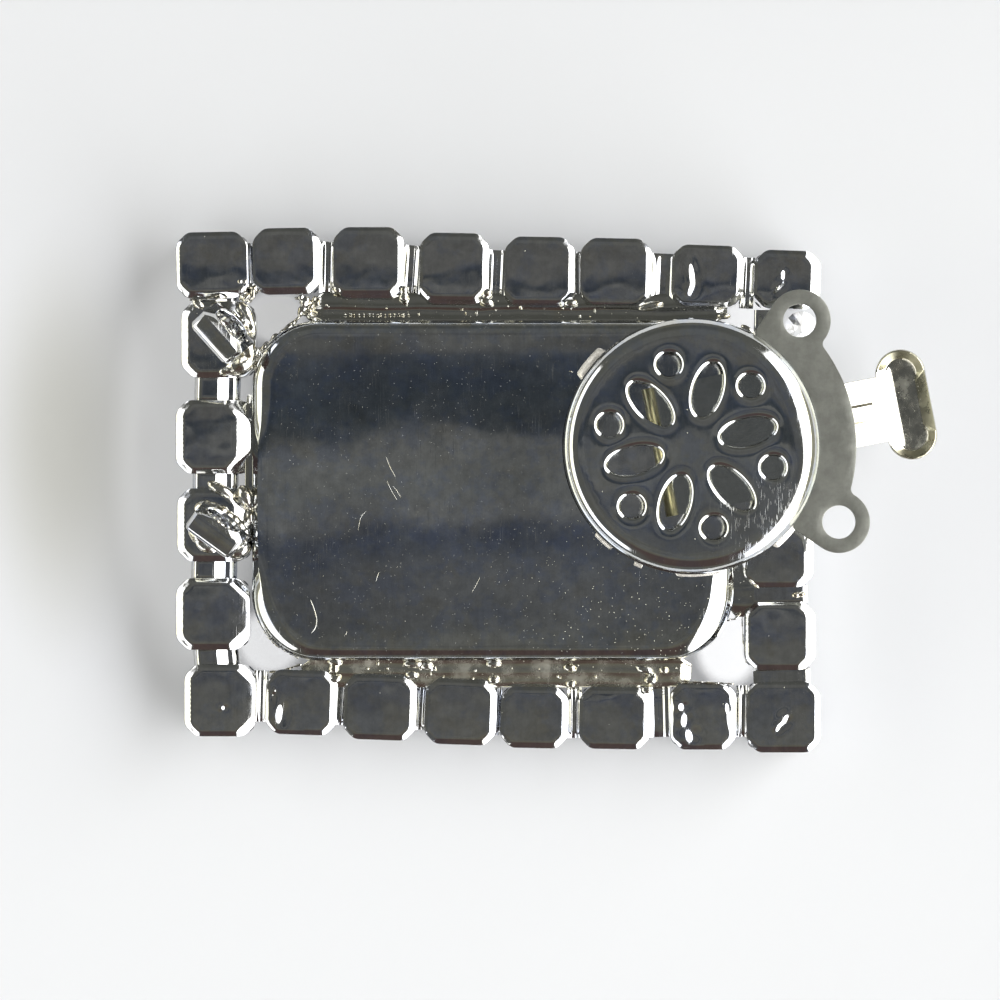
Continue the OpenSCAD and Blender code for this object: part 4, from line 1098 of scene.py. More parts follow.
def make_lid():
    """Lid in the clasp's own axes, then placed."""
    shapes = []
    for r, a in PETALS:
        shapes.append((r * math.cos(math.radians(a)), r * math.sin(math.radians(a)), 3.03, 1.5, a))
    for r, a in DOTS:
        shapes.append((r * math.cos(math.radians(a)), r * math.sin(math.radians(a)), 1.3, 1.3, a))

    def gap_to(x, y, s):
        """About how far a point lies outside a hole's edge."""
        cx, cy, l, w, a = s
        t = math.radians(a)
        u = (x - cx) * math.cos(t) + (y - cy) * math.sin(t)
        v = -(x - cx) * math.sin(t) + (y - cy) * math.cos(t)
        A, B = l / 2, w / 2
        k = math.hypot(u / A, v / B)
        if k < 1e-6:
            return -B
        g = math.hypot(u / (A * A), v / (B * B)) / k
        return (k - 1) / g

    def zf(x, y):
        R = math.hypot(x, y)
        z = LID_TOP - 0.012 - 0.030 * (R / 6.1) ** 2 + 0.007 * noise.noise(Vector((x * .35, y * .35, 3)))
        if R > 6.0:
            t = min(1.0, (R - 6.0) / 0.95)
            z -= 0.88 * (1 - math.sqrt(max(0.0, 1 - t * t)))
        if R > 4.9 and x > 0:
            # worn, softer edge on the tongue's side
            w = math.exp(-((math.atan2(y, x) - 0.10) / 0.65) ** 2)
            q = min(1.0, (R - 4.9) / 1.35)
            z -= 0.12 * w * q * q
        for s in shapes:
            d = gap_to(x, y, s)
            if d < 0.60:
                rim = 0.25
                if d < rim:
                    q = 1 - max(0, d) / rim
                    z -= 0.125 * q * q + 0.011
                else:
                    z -= 0.011 * (1 - (d - rim) / (0.60 - rim)) ** 2
        return z
    edge_r = 6.0 + 0.95 * math.sin(math.radians(84))
    outline = [(edge_r * math.cos(2 * math.pi * k / 240), edge_r * math.sin(2 * math.pi * k / 240)) for k in range(240)]
    holes, inner = [], []
    for s in shapes:
        n = 72 if s[2] > 2 else 44
        cx, cy, l, w, a = s
        holes.append(ellipse_loop(cx, cy, l, w, a, n))
        for t in (0.04, 0.08, 0.12, 0.16, 0.20, 0.235, 0.27, 0.34, 0.44, 0.58):
            inner += ellipse_loop(cx, cy, l + 2 * t, w + 2 * t, a, n if t < 0.3 else n * 3 // 4)
    for k in range(1, 12):
        r = 6.0 + 0.95 * math.sin(math.radians(84 * k / 12))
        inner += [(r * math.cos(2 * math.pi * (j + .5 * (k % 2)) / 240), r * math.sin(2 * math.pi * (j + .5 * (k % 2)) / 240)) for j in range(240)]
    inner += grid_points((-6.1, -6.1), (6.1, 6.1), 0.20,
                         lambda x, y: math.hypot(x, y) < 5.9 and all(gap_to(x, y, s) > 0.66 for s in shapes))
    clean = []
    for p in inner:
        if any(inside(p, h) for h in holes):
            continue
        clean.append(p)
    v, f, loops = patch(outline, holes, clean, zf)
    M = Mesh()
    M.add([clasp(*p) for p in v], f)
    # skirt
    ring = [v[k] for k in loops[0]]
    z0 = ring[0][2]
    skirt = [ring]
    for dz, r in ((0.03, LID_R - .01), (0.08, LID_R)):
        skirt.append([(r * math.cos(2 * math.pi * k / 240), r * math.sin(2 * math.pi * k / 240), z0 - dz) for k in range(240)])
    skirt.append([(LID_R * math.cos(2 * math.pi * k / 240), LID_R * math.sin(2 * math.pi * k / 240), 7.49) for k in range(240)])
    skirt.append([((LID_R - .35) * math.cos(2 * math.pi * k / 240), (LID_R - .35) * math.sin(2 * math.pi * k / 240), 7.49) for k in range(240)])
    skirt.append([((LID_R - .40) * math.cos(2 * math.pi * k / 240), (LID_R - .40) * math.sin(2 * math.pi * k / 240), 7.70) for k in range(240)])
    M.strip([[clasp(*p) for p in r] for r in skirt])
    # underside with the same holes, and the holes' walls
    low_out = [((LID_R - .40) * math.cos(2 * math.pi * k / 240), (LID_R - .40) * math.sin(2 * math.pi * k / 240)) for k in range(240)]
    big = [ellipse_loop(s[0], s[1], s[2] + .30, s[3] + .30, s[4], 72 if s[2] > 2 else 44) for s in shapes]
    lowz = lambda x, y: 7.98 - max(0.0, math.hypot(x, y) - 6.0) * 0.5
    v2, f2, l2 = patch(low_out, big, grid_points((-6, -6), (6, 6), 0.8, lambda x, y: math.hypot(x, y) < 5.9 and all(gap_to(x, y, s) > .35 for s in shapes)), lowz)
    for k in l2[0]:
        v2[k] = (v2[k][0], v2[k][1], 7.70)
    M.add([clasp(*p) for p in v2], [t[::-1] for t in f2])
    for h, hb in zip(loops[1:], l2[1:]):
        top = [v[k] for k in h]
        mid = [(p[0], p[1], 8.10) for p in top]
        M.strip([[clasp(*p) for p in top], [clasp(*p) for p in mid], [clasp(*v2[k]) for k in hb]])
    ob = build("pierced_lid", M.v, M.f, [M_LID], "frame", ["box_lid"], doubles=0.001)
    outward(ob)
    ob.data.set_sharp_from_angle(angle=math.radians(60))
    return ob


# ---------------------------------------------------------------- tongue plate
def tongue_outline():
    """Crescent with two lobes, counter-clockwise, in the clasp's own axes."""
    R, r, f = 8.95, 1.68, 0.4
    la = math.radians(38.2)
    L = Vector((9 * math.cos(la), 9 * math.sin(la)))
    # fillet circle between the crescent's edge and the lobe
    D = 9.0
    a, b = R + f, r + f
    c = (a * a - b * b + D * D) / (2 * D)
    h = math.sqrt(a * a - c * c)
    n = L.normalized()
    F = n * c + Vector((n.y, -n.x)) * h
    on_big = F.normalized() * R
    on_lobe = L + (F - L).normalized() * r
    upper = []
    a0 = math.atan2(on_big.y, on_big.x)
    for k in range(49):
        q = a0 * k / 48
        upper.append((R * math.cos(q), R * math.sin(q)))
    s = math.atan2((on_big - F).y, (on_big - F).x)
    e = math.atan2((on_lobe - F).y, (on_lobe - F).x)
    d = (e - s + math.pi) % (2 * math.pi) - math.pi
    for k in range(1, 9):
        q = s + d * k / 8
        upper.append((F.x + f * math.cos(q), F.y + f * math.sin(q)))
    s = math.atan2((on_lobe - L).y, (on_lobe - L).x)
    e = math.radians(135)
    d = (e - s) % (2 * math.pi)
    for k in range(1, 57):
        q = s + d * k / 56
        upper.append((L.x + r * math.cos(q), L.y + r * math.sin(q)))
    upper += [(4.66, 5.53), (4.6, 5.44), (4.6, 5.12)]
    i0 = math.atan2(5.076, 4.6)
    inner = []
    for k in range(33):
        q = i0 * (1 - k / 32)
        inner.append((6.85 * math.cos(q), 6.85 * math.sin(q)))
    up = upper + inner
    full = upper + inner[:-1] + [(x, -y) for x, y in inner[::-1]] + [(x, -y) for x, y in upper[::-1]][:-1]
    return full


def plate_solid(M, outline, holes, z0, z1, e=0.07, pts=(), zf=None):
    """Flat plate with small rounded edges on top and bottom."""
    top = inset(outline, e)
    hole_in = [inset(h, -e) for h in holes]
    f0 = zf or (lambda x, y: 0.0)
    v, f, loops = patch(top, hole_in, list(pts), lambda x, y: z1 + f0(x, y))
    M.add([clasp(*p) for p in v], f)
    v2, f2, l2 = patch(top, hole_in, [], lambda x, y: z0)
    M.add([clasp(*p) for p in v2], [t[::-1] for t in f2])
    for base, a, b in [(outline, loops[0], l2[0])] + [(h, la, lb) for h, la, lb in zip(holes, loops[1:], l2[1:])]:
        mid = inset(base, e * 0.3) if base is outline else inset(base, -e * 0.3)
        rings = [[v[k] for k in a], [(p[0], p[1], z1 - e * .3) for p in mid], [(p[0], p[1], z1 - e) for p in base],
                 [(p[0], p[1], z0 + e) for p in base], [(p[0], p[1], z0 + e * .3) for p in mid], [v2[k] for k in b]]
        M.strip([[clasp(*p) for p in r] for r in rings])


def make_tongue():
    M = Mesh()
    out = resample(tongue_outline(), 0.30)
    la = math.radians(38.2)
    holes = [[(9 * math.cos(la) + .9 * math.cos(2 * math.pi * k / 48), s * 9 * math.sin(la) + .9 * math.sin(2 * math.pi * k / 48)) for k in range(48)]
             for s in (1, -1)]
    edge = inset(out, 0.3)
    pts = grid_points((4, -8), (10, 8), 0.35, lambda x, y: inside((x, y), edge) and all(math.hypot(x - 9 * math.cos(la), y - s * 9 * math.sin(la)) > 1.15 for s in (1, -1)))
    plate_solid(M, out, holes, 6.85, 7.35, 0.06, pts, lambda x, y: -0.012 + 0.010 * noise.noise(Vector((x * .4, y * .4, 2))))
    # tongue inside the box, one rounded bar with its rolled end
    w = 3.52
    prof = [(7.05, 6.87), (7.05, 7.33)]
    u0, z0, R1, R2 = -1.25, 6.6, 0.75, 0.37
    top = [(7.05, 7.34)] + [(u0 + R1 * math.cos(math.radians(a)), z0 + R1 * math.sin(math.radians(a))) for a in range(90, 316, 9)]
    top[1] = (u0, 7.34)
    top = top[:1] + [(5.0, 7.34), (3.0, 7.34), (1.0, 7.34)] + top[1:]
    end = math.radians(315)
    low = [(u0 + R2 * math.cos(math.radians(a)), z0 + R2 * math.sin(math.radians(a))) for a in range(315, 44, -9)]
    low += [(u0 + 0.35, 6.90), (u0 + 0.8, 6.86), (1.0, 6.86), (3.0, 6.86), (5.0, 6.86), (7.05, 6.86)]
    loop = top + low
    rings = []
    for v in (-w, -w + .05, w - .05, w):
        rings.append([clasp(p[0], v, p[1]) for p in loop])
    M.strip(rings)
    for v, flip in ((-w, True), (w, False)):
        pts2 = [clasp(p[0], v, p[1]) for p in loop]
        k = len(loop)
        nt, nl = len(top), len(low)
        # ends as quads between the two sides
        fs = []
        for i in range(min(nt, nl) - 1):
            fs.append((i, i + 1, k - 2 - i, k - 1 - i))
        M.add(pts2, fs)
    ob = build("tongue", M.v, M.f, [M_TONGUE], "tongue", ["tongue_plate"], doubles=0.001)
    outward(ob)
    ob.data.set_sharp_from_angle(angle=math.radians(40))
    return ob


# ---------------------------------------------------------------- push lever
LEAF_END = 6.6 - (7.7 + 1.25) * math.tan(math.radians(2.6))
PAD_Z = LEAF_END - 3.0 * math.tan(math.radians(19))


def make_lever():
    M = Mesh()
    t = 0.13
    # centre line of the sheet, side view
    line = [(-1.25, 6.50), (-0.6, 6.49), (3.0, LEAF_END + 0.21), (7.2, LEAF_END + 0.03), (7.55, LEAF_END + 0.0), (7.75, LEAF_END - 0.03),
            (8.0, LEAF_END - 0.3 * math.tan(math.radians(19))), (9.4, LEAF_END - 1.7 * math.tan(math.radians(19))),
            (10.55, LEAF_END - 2.85 * math.tan(math.radians(19))), (10.74, PAD_Z - 0.024)]
    w = 1.78
    cross = [(-w, -.06), (-w, .09), (-w + .015, .12), (-w + .04, .13)] + [(-w + .2 + (2 * w - .4) * k / 8, .13) for k in range(1, 8)] + \
            [(w - .04, .13), (w - .015, .12), (w, .09), (w, -.06), (w - .06, -.12), (0, -.13), (-w + .06, -.12)]
    rings = []
    for i, (u, z) in enumerate(line):
        a = line[max(0, i - 1)]
        b = line[min(len(line) - 1, i + 1)]
        g = math.atan2(b[1] - a[1], b[0] - a[0])
        rings.append([clasp(u - q * math.sin(g), v, z + q * math.cos(g)) for v, q in cross])
    M.strip(rings)
    # bead in the roll
    bead = []
    for v in (-3.48, -3.42, 3.42, 3.48):
        r = 0.32 if abs(v) < 3.45 else 0.26
        bead.append([clasp(-1.25 + r * math.cos(2 * math.pi * k / 24), v, 6.6 + r * math.sin(2 * math.pi * k / 24)) for k in range(24)])
    M.strip(bead)
    M.cap(bead[0], 0, True)
    M.cap(bead[-1], 0)
    # raised rib with a flat, sharp-edged top
    g = -math.radians(19)
    rib = []
    nrm = (-math.sin(g), math.cos(g))
    for (v, q) in ((-.56, .10), (-.40, .235), (-.36, .25), (.34, .25), (.38, .235), (.54, .10)):
        row = []
        for u in (8.15, 8.2, 8.25, 9.0, 10.05, 10.12, 10.16):
            z = LEAF_END - (u - 7.7) * math.tan(math.radians(19))
            k = q if 8.17 < u < 10.14 else 0.10
            row.append(clasp(u + nrm[0] * k, v - 0.02, z + nrm[1] * k))
        rib.append(row)
    # the rib's two outer strips take the dark khaki material: painted shade on its flanks
    for k in range(5):
        M.strip(rib[k:k + 2], closed=False, mat=4 if k in (0, 4) else 0)
    # thumb pad: dished stadium
    L, W = 6.08, 2.72
    pu = 12.0

    def stad(t, z, n=28):
        a, s = W / 2 - t, (L - W) / 2
        pts = []
        for k in range(n + 1):
            q = math.pi * k / n
            pts.append((pu + a * math.cos(q), s + a * math.sin(q), z))
        for k in range(n + 1):
            q = math.pi + math.pi * k / n
            pts.append((pu + a * math.cos(q), -s + a * math.sin(q), z))
        return pts
    floor = PAD_Z - 0.22
    s0 = (L - W) / 2

    def edge_gap(x, y):
        """Distance in from the pad's outline."""
        yy = max(0.0, abs(y) - s0)
        return W / 2 - math.hypot(x - pu, yy)

    def pad_top(x, y):
        d = edge_gap(x, y)
        # 0 on the side where the arm comes in
        side = 1 / (1 + math.exp(-((x - pu) + 0.55) * 9))
        end = 1 / (1 + math.exp(-(abs(y) - 2.15) * 9))
        lip = max(side, end)
        h = 0.34 * max(0.0, min(1.0, (0.50 - d) / 0.40)) if d < 0.50 else 0.0
        h -= 0.10 * max(0.0, (0.09 - d) / 0.09) ** 2
        ramp = max(0.0, (pu - 0.42) - x) * 0.40
        k = 0.06
        ramp = ramp if ramp > k else ramp * ramp / k
        crease = 0.004 * math.exp(-((x - pu + 0.98 - 0.03 * y) / 0.035) ** 2)
        z = floor + h * lip + ramp * (1 - end) - crease * (1 - end)
        z -= 0.012 * math.exp(-((d - 0.53) / 0.05) ** 2) * lip
        return z + 0.006 * noise.noise(Vector((x * 1.1, y * 1.1, 4)))
    line0 = [(p[0], p[1]) for p in stad(0.04, 0)]
    pts = grid_points((pu - 1.4, -3.1), (pu + 1.4, 3.1), 0.085, lambda x, y: edge_gap(x, y) > 0.60)
    for t_ in (0.07, 0.10, 0.15, 0.22, 0.30, 0.38, 0.45, 0.49, 0.52, 0.55, 0.59):
        pts += [(p[0], p[1]) for p in stad(t_, 0, 34)]
    v, f, lp = patch(line0, [], pts, pad_top)

    def on_lip(t):
        x, y = (v[t[0]][0] + v[t[1]][0] + v[t[2]][0]) / 3, (v[t[0]][1] + v[t[1]][1] + v[t[2]][1]) / 3
        if edge_gap(x, y) < 0.51 and (x > pu - 0.55 or abs(y) > 2.2):
            return 1
        return 2 if x > pu - 0.44 and abs(y) < 2.6 else 0
    a = M.add([clasp(*p) for p in v], [])
    for t_ in f:
        M.f.append(tuple(a + i for i in t_))
        M.m.append(on_lip(t_))
    rim = [v[k] for k in lp[0]]
    # beaded line where the lip meets the floor, in a near-white, mostly matte colour: a painted highlight on a real
    # bead
    sa = stad(0.50, 0)
    ln = [sa[k] for k in range(11, -1, -1)] + [sa[k] for k in range(57, 50, -1)]
    fine = []
    for a_, b_ in zip(ln, ln[1:]):
        m_ = max(1, int(math.hypot(b_[0] - a_[0], b_[1] - a_[1]) / 0.07))
        for j in range(m_):
            x_, y_ = a_[0] + (b_[0] - a_[0]) * j / m_, a_[1] + (b_[1] - a_[1]) * j / m_
            fine.append((x_, y_, pad_top(x_, y_) + 0.015))
    tube(M, [clasp(*q) for q in fine], [0.052 + 0.030 * noise.noise(Vector((j * .9, 3, 1))) for j in range(len(fine))], 8, 3)
    out = [(p[0], p[1]) for p in stad(0.0, 0)]
    M.strip([[clasp(*p) for p in rim], [clasp(q[0], q[1], p[2] - 0.05) for q, p in zip(out, rim)],
             [clasp(q[0], q[1], min(p[2] - 0.10, floor - 0.02)) for q, p in zip(out, rim)],
             [clasp(*p) for p in stad(0.06, floor - 0.12)], [clasp(*p) for p in stad(0.3, floor - 0.13)]])
    M.cap([clasp(*p) for p in stad(0.3, floor - 0.13)], 0, True)
    ob = build("push_lever_sheet", M.v, M.f, [M_LEVER, M_LIP, M_PAD, M_BEAD_PAINTED_HIGHLIGHT, M_RIB_PAINTED_SHADE], "lever", ["push_lever"], face_mat=M.m, doubles=0.001)
    outward(ob)
    ob.data.set_sharp_from_angle(angle=math.radians(45))
    return ob


# ---------------------------------------------------------------- stones
def brilliant(M, cx, cy, r, z_table, z_g0, z_g1, z_culet, turn=0.0, foil=1):
    """Round brilliant, table down."""
    n = 8
    T, S, G0, G1, P = [], [], [], [], []
    for k in range(n):
        a = 2 * math.pi * (k + .5) / n + turn
        T.append((cx + .62 * r * math.cos(a), cy + .62 * r * math.sin(a), z_table))
        a = 2 * math.pi * k / n + turn
        S.append((cx + .84 * r * math.cos(a), cy + .84 * r * math.sin(a), z_table + (z_g0 - z_table) * .55))
    for k in range(16):
        a = 2 * math.pi * (k + 0.0) / 16 + turn
        G0.append((cx + r * math.cos(a), cy + r * math.sin(a), z_g0))
        G1.append((cx + r * math.cos(a), cy + r * math.sin(a), z_g1))
    for k in range(n):
        a = 2 * math.pi * (k + .5) / n + turn
        P.append((cx + .52 * r * math.cos(a), cy + .52 * r * math.sin(a), z_g1 + (z_culet - z_g1) * .60))
    v = T + S + G0 + G1 + P + [(cx, cy, z_culet)]
    t, s, g0, g1, p, c = 0, n, 2 * n, 2 * n + 16, 2 * n + 32, 2 * n + 32 + n
    crown, pav = [tuple(range(n))], []
    for k in range(n):
        k1 = (k + 1) % n
        km = (k - 1) % n
        # star, kite and girdle facets: S[k] lies between T[k-1] and T[k]
        crown.append((t + km, t + k, s + k))
        crown.append((t + k, s + k1, g0 + 2 * k + 1, s + k))
        crown.append((s + k, g0 + 2 * k + 1, g0 + 2 * k))
        crown.append((s + k1, g0 + (2 * k + 2) % 16, g0 + 2 * k + 1))
        pav.append((g1 + 2 * k, g1 + 2 * k + 1, p + k))
        pav.append((g1 + 2 * k + 1, g1 + (2 * k + 2) % 16, p + k))
        pav.append((p + k, g1 + (2 * k + 2) % 16, p + k1))
        pav.append((p + k, p + k1, c))
    side = [(g0 + k, g0 + (k + 1) % 16, g1 + (k + 1) % 16, g1 + k) for k in range(16)]
    a = M.add(v, crown, 0)
    M.f += [tuple(a + i for i in f) for f in side]
    M.m += [0] * len(side)
    M.f += [tuple(a + i for i in f) for f in pav]
    M.m += [foil] * len(pav)


def make_stones():
    M = Mesh()
    r = random.Random(5)
    for cx, cy, w, d, turn in CUPS:
        brilliant(M, cx, cy, 1.4, 0.9, 1.5, 1.7, 3.3, r.uniform(0, .8))
    ob = build("border_stones", M.v, M.f, [M_GLASS, M_FOIL], "frame", ["border_stone_%02d" % i for i in range(1, 25)],
               face_mat=M.m, smooth=False)
    outward(ob)
    M = Mesh()
    brilliant(M, 13.46, 8.96, 0.84, 2.85, 3.2, 3.32, 4.21, 0.2)
    # painted light and shade on the pavilion facets: one sector gets almost no glow (painted shade), every third other
    # facet the pale glow, the rest the bright glow
    for k, f in enumerate(M.f):
        if M.m[k] == 1:
            c = [sum(M.v[i][j] for i in f) / len(f) - (13.46, 8.96)[j] for j in (0, 1)]
            a = math.degrees(math.atan2(c[1], c[0])) % 360
            M.m[k] = 3 if 128 < a < 158 else (2 if k % 3 == 0 else 1)
    ob = build("gap_chaton", M.v, M.f, [M_GLASS, chaton_mat("chaton_painted_bright", 0.62), chaton_mat("chaton_painted_pale", 0.34), chaton_mat("chaton_painted_dark", 0.03)],
               "frame", ["gap_stone"], face_mat=M.m, smooth=False)
    outward(ob)
    # centre stone: step cut with clipped corners, table down
    M = Mesh()
    cx, cy = SET_AT

    def octo(w, d, c, z):
        return [(cx + x, cy + y, z) for x, y in ((w / 2, -d / 2 + c), (w / 2, d / 2 - c), (w / 2 - c, d / 2), (-w / 2 + c, d / 2),
                                                 (-w / 2, d / 2 - c), (-w / 2, -d / 2 + c), (-w / 2 + c, -d / 2), (w / 2 - c, -d / 2))]
    rings = [octo(17.0, 10.0, 1.0, 0.0), octo(19.6, 12.4, 1.6, 0.42), octo(22.4, 15.0, 2.3, 0.95), octo(25.0, 17.4, 3.0, 1.5),
             octo(25.0, 17.4, 3.0, 1.9), octo(20.5, 13.4, 2.3, 2.75), octo(15.0, 8.8, 1.4, 3.65), octo(8.5, 3.4, .7, 4.5)]
    a = 0
    M.strip(rings[:5], True, 0)
    M.strip(rings[4:], True, 1)
    a = M.add(rings[0], [tuple(range(8))], 0)
    a = M.add(rings[-1], [tuple(range(7, -1, -1))], 1)
    ob = build("centre_glass", M.v, M.f, [M_GLASS, M_FOIL], "frame", ["centre_stone"], face_mat=M.m, smooth=False)
    bm = bmesh.new()
    bm.from_mesh(ob.data)
    bmesh.ops.remove_doubles(bm, verts=bm.verts, dist=1e-6)
    bmesh.ops.recalc_face_normals(bm, faces=bm.faces)
    bm.to_mesh(ob.data)
    bm.free()


make_cups()
make_setting()
make_claws()
make_links()
make_solder()
make_loops()
make_box()
make_lid()
make_tongue()
make_lever()
make_stones()


# ---------------------------------------------------------------- stage, light, camera
def make_stage():
    me = bpy.data.meshes.new("floor")
    s = 3.0
    me.from_pydata([(-s, -s, 0), (s, -s, 0), (s, s, 0), (-s, s, 0)], [], [(0, 1, 2, 3)])
    ob = bpy.data.objects.new("floor", me)
    bpy.context.scene.collection.objects.link(ob)
    m, nt, bs = new_mat("floor_paper")
    n = N(nt)
    g = n.noise(n.coord(), 0.02, 2.0)
    # deeper shade to the left of the object and a faint fall-off towards the upper left
    def spot_at(x, y, rx, ry, lo, hi):
        X, Y, _ = px(x, y, 0)
        v = n.node("ShaderNodeVectorMath", operation="LENGTH")
        n.put(v.inputs[0], n.coord((18.3 / rx, 18.3 / ry, 0), (0, 0, 0), (-X * 18.3 / rx, -Y * 18.3 / ry, 0)))
        return n.step(v.outputs["Value"], hi, lo)
    shade = spot_at(62, 445, 100, 235, 0.10, 1.05)
    qx, qy, _ = n.sep(n.coord())
    fall = n.step(n.math("MULTIPLY_ADD", qx, -0.5, n.math("MULTIPLY", qy, 0.85)), -6.0, 22.0)
    dim = n.math("MULTIPLY", n.math("MULTIPLY_ADD", shade, -0.28, 1.0), n.math("MULTIPLY_ADD", fall, -0.07, 1.02))
    # paper colour, shifted to a greenish-yellow tint inside the painted shadow and in a painted warm spot at the
    # top-left opening
    paper = n.mix(n.math("MAXIMUM", shade, spot_at(276, 320, 26, 24, 0.6, 1.3)), n.mix(g, rgba(0.536, 0.546, 0.569), rgba(0.551, 0.559, 0.582)), rgba(0.562, 0.562, 0.528))
    sc = n.node("ShaderNodeVectorMath", operation="SCALE")
    n.put(sc.inputs[0], paper)
    n.put(sc.inputs["Scale"], dim)
    n.put(bs.inputs["Base Color"], sc.outputs[0])
    bs.inputs["Roughness"].default_value = 0.9
    bs.inputs["Specular IOR Level"].default_value = 0.1
    # painted light: the floor glows (emission) a little everywhere and more in spots under the openings and beside the
    # object's left side, so its shadows stay pale
    glow = None
    for x, y, rx, ry, e in ((275, 316, 26, 22, .28), (270, 642, 26, 26, .46), (728, 645, 26, 34, .66), (745, 610, 16, 20, .46), (746, 322, 22, 20, .52),
                            (190, 455, 60, 170, .16)):
        X, Y, _ = px(x, y, 0)
        v = n.node("ShaderNodeVectorMath", operation="LENGTH")
        n.put(v.inputs[0], n.coord((18.3 / rx, 18.3 / ry, 0), (0, 0, 0), (-X * 18.3 / rx, -Y * 18.3 / ry, 0)))
        spot = n.step(v.outputs["Value"], 1.5, 0.9, 0.0, e)
        glow = spot if glow is None else n.math("MAXIMUM", glow, spot)
    bs.inputs["Emission Color"].default_value = rgba(0.985, 0.99, 1.0)
    n.put(bs.inputs["Emission Strength"], n.math("ADD", glow, n.math("MULTIPLY", dim, 0.205)))
    me.materials.append(m)


def make_world():
    w = bpy.data.worlds.new("studio")
    bpy.context.scene.world = w
    w.use_nodes = True
    nt = w.node_tree
    nt.nodes.clear()
    out = nt.nodes.new("ShaderNodeOutputWorld")
    bg = nt.nodes.new("ShaderNodeBackground")
    nt.links.new(bg.outputs[0], out.inputs[0])
    n = N(nt)
    x, y, z = n.sep(n.tc.outputs["Generated"])
    ax = n.math("ABSOLUTE", x)
    ay = n.math("ABSOLUTE", y)
    mx = n.math("MULTIPLY", x, -1.0)
    my = n.math("MULTIPLY", y, -1.0)
    # two side lights, the stronger one at +X; each leaves the zenith and the horizon dark
    low = n.step(y, 0.02, -0.02)
    wr = n.step(n.math("SUBTRACT", ax, n.math("MULTIPLY", ay, n.math("MULTIPLY_ADD", low, -0.35, 0.85))), 0.0, 0.10)
    wl = n.step(n.math("SUBTRACT", ax, n.math("MULTIPLY", ay, n.math("MULTIPLY_ADD", low, -0.50, 1.0))), 0.02, 0.10)
    m2 = n.math("SQRT", n.math("ADD", n.math("MULTIPLY", x, x), n.math("MULTIPLY", y, y)))
    right = n.math("MULTIPLY", n.math("MULTIPLY", n.step(x, 0.40, 0.46), n.step(x, 0.91, 0.84)), n.math("MULTIPLY", wr, 5.2))
    left = n.math("MULTIPLY", n.math("MULTIPLY", n.step(m2, 0.79, 0.84), n.step(m2, 0.985, 0.95)), n.math("MULTIPLY", wl, 2.6))
    left = n.math("MULTIPLY", left, n.step(mx, 0.30, 0.42))
    # dim room: greenish at the view's top, red-brown at its bottom, brighter just off the zenith
    col = n.mix(n.step(y, 0.10, 0.22), rgba(0.105, 0.110, 0.118), rgba(0.135, 0.138, 0.132))
    col = n.mix(n.step(y, 0.55, 0.80), col, rgba(0.098, 0.101, 0.094))
    col = n.mix(n.step(my, 0.10, 0.22), col, rgba(0.150, 0.145, 0.120))
    col = n.mix(n.step(my, 0.30, 0.50), col, rgba(0.099, 0.072, 0.067))
    col = n.mix(n.step(ay, 0.90, 0.97), col, rgba(0.150, 0.148, 0.128))
    col = n.mix(n.step(ax, 0.20, 0.45), col, rgba(0.120, 0.122, 0.112))
    col = n.mix(n.step(ax, 0.86, 0.93), col, rgba(0.40, 0.385, 0.30))
    lum = n.math("ADD", right, left)
    warm = n.mix(n.step(ax, 0.76, 0.86), rgba(1.0, 1.0, 1.0), rgba(1.0, 0.98, 0.80))
    lamp = n.node("ShaderNodeMix", data_type="RGBA", blend_type="ADD")
    lamp.inputs[0].default_value = 1.0
    n.put(lamp.inputs[6], col)
    sc = n.node("ShaderNodeVectorMath", operation="SCALE")
    n.put(sc.inputs[0], warm)
    n.put(sc.inputs["Scale"], lum)
    n.put(lamp.inputs[7], sc.outputs[0])
    # a pale backdrop where the camera looks past the floor
    lp = n.node("ShaderNodeLightPath")
    n.put(bg.inputs["Color"], n.mix(lp.outputs["Is Camera Ray"], lamp.outputs[2], rgba(0.80, 0.81, 0.82)))
    bg.inputs["Strength"].default_value = 1.0


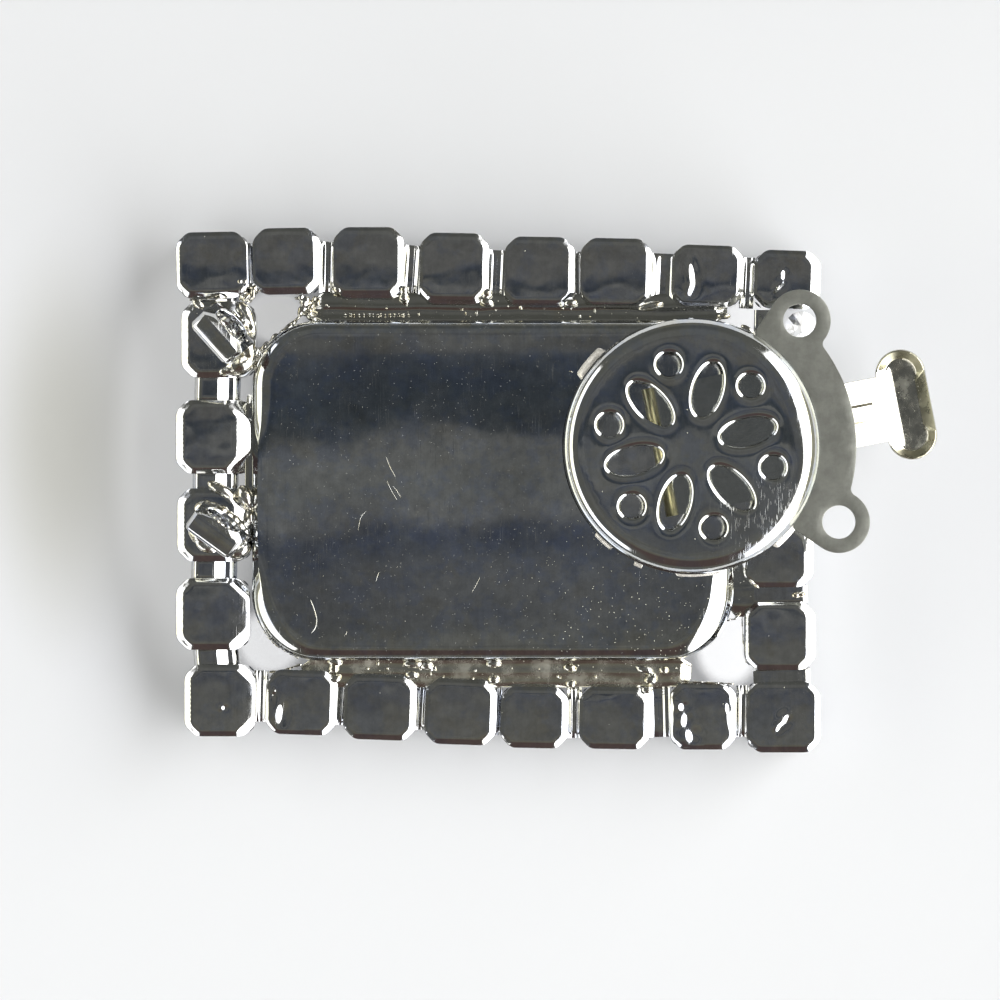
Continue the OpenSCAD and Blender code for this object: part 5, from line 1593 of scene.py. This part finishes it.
def make_overhead():
    """A dim card high over the object, mirrored in every flat back: dark, a pale band, dark, grey."""
    me = bpy.data.meshes.new("overhead_card")
    z = 0.205
    me.from_pydata([(-0.065, -0.050, z), (0.055, -0.050, z), (0.055, 0.045, z), (-0.065, 0.045, z)], [], [(0, 3, 2, 1)])
    ob = bpy.data.objects.new("overhead_card", me)
    bpy.context.scene.collection.objects.link(ob)
    m = bpy.data.materials.new("card_glow")
    m.use_nodes = True
    nt = m.node_tree
    nt.nodes.clear()
    out = nt.nodes.new("ShaderNodeOutputMaterial")
    em = nt.nodes.new("ShaderNodeEmission")
    n = N(nt)
    x, y, _ = n.sep(n.coord())
    # ragged edges
    wob = n.math("MULTIPLY_ADD", n.noise(n.coord((1, 1, 1)), 0.16, 4.0, 0.6), 3.0, -1.5)
    wob = n.math("ADD", wob, n.math("MULTIPLY_ADD", n.noise(n.coord((.3, 2.5, 1)), 0.5, 2.0), 1.2, -0.6))
    yy = n.math("ADD", y, wob)
    # the left end of the band starts a little lower
    yy = n.math("ADD", yy, n.step(x, -12.0, -20.0, 0.0, 1.2))
    k = 1.58

    def at(py):
        return -0.557 + (500 - py) / 18.35 * k
    lines = [(300, (.122, .123, .120)), (326, (.105, .108, .112)), (346, (.062, .072, .090)), (372, (.052, .061, .076)), (392, (.046, .055, .065)),
             (430, (.058, .066, .076)), (436, (.160, .162, .160)), (480, (.150, .154, .152)), (490, (.140, .146, .148)), (505, (.155, .158, .158)), (519, (.158, .161, .163)),
             (526, (.070, .078, .098)), (540, (.068, .077, .099)), (558, (.078, .086, .102)), (566, (.110, .115, .123)), (600, (.114, .118, .123)), (640, (.120, .124, .126)), (680, (.135, .137, .130))]
    col = rgba(.135, .137, .128)
    prev = None
    for py, c in lines:
        if prev is None:
            prev = py
            col = rgba(*c)
            continue
        col = n.mix(n.step(yy, at(prev), at(py)), col, rgba(*c))
        prev = py
    blot = n.step(n.noise(n.coord((1, 1, 1), (0, 0, 0), (4, 4, 0)), 0.11, 4.0, 0.6), 0.30, 0.72, 0.80, 1.22)
    sc = n.node("ShaderNodeVectorMath", operation="SCALE")
    n.put(sc.inputs[0], col)
    n.put(sc.inputs["Scale"], blot)
    n.put(em.inputs[0], sc.outputs[0])
    em.inputs[1].default_value = 1.0
    nt.links.new(em.outputs[0], out.inputs[0])
    me.materials.append(m)
    ob.visible_camera = False
    ob.visible_diffuse = False
    ob.visible_shadow = False
    ob.visible_transmission = False


make_stage()
make_world()
make_overhead()
cam = bpy.data.cameras.new("camera")
cam.sensor_width = 36.0
cam.lens = 36.0 * 345.5 / (1000 / 18.3)
cam.clip_start, cam.clip_end = 0.01, 10.0
co = bpy.data.objects.new("camera", cam)
co.location = (-3.044 * MM, -0.557 * MM, 0.350)
bpy.context.scene.collection.objects.link(co)
bpy.context.scene.camera = co
bpy.context.scene.view_settings.view_transform = "Standard"
bpy.context.scene.view_settings.look = "None"
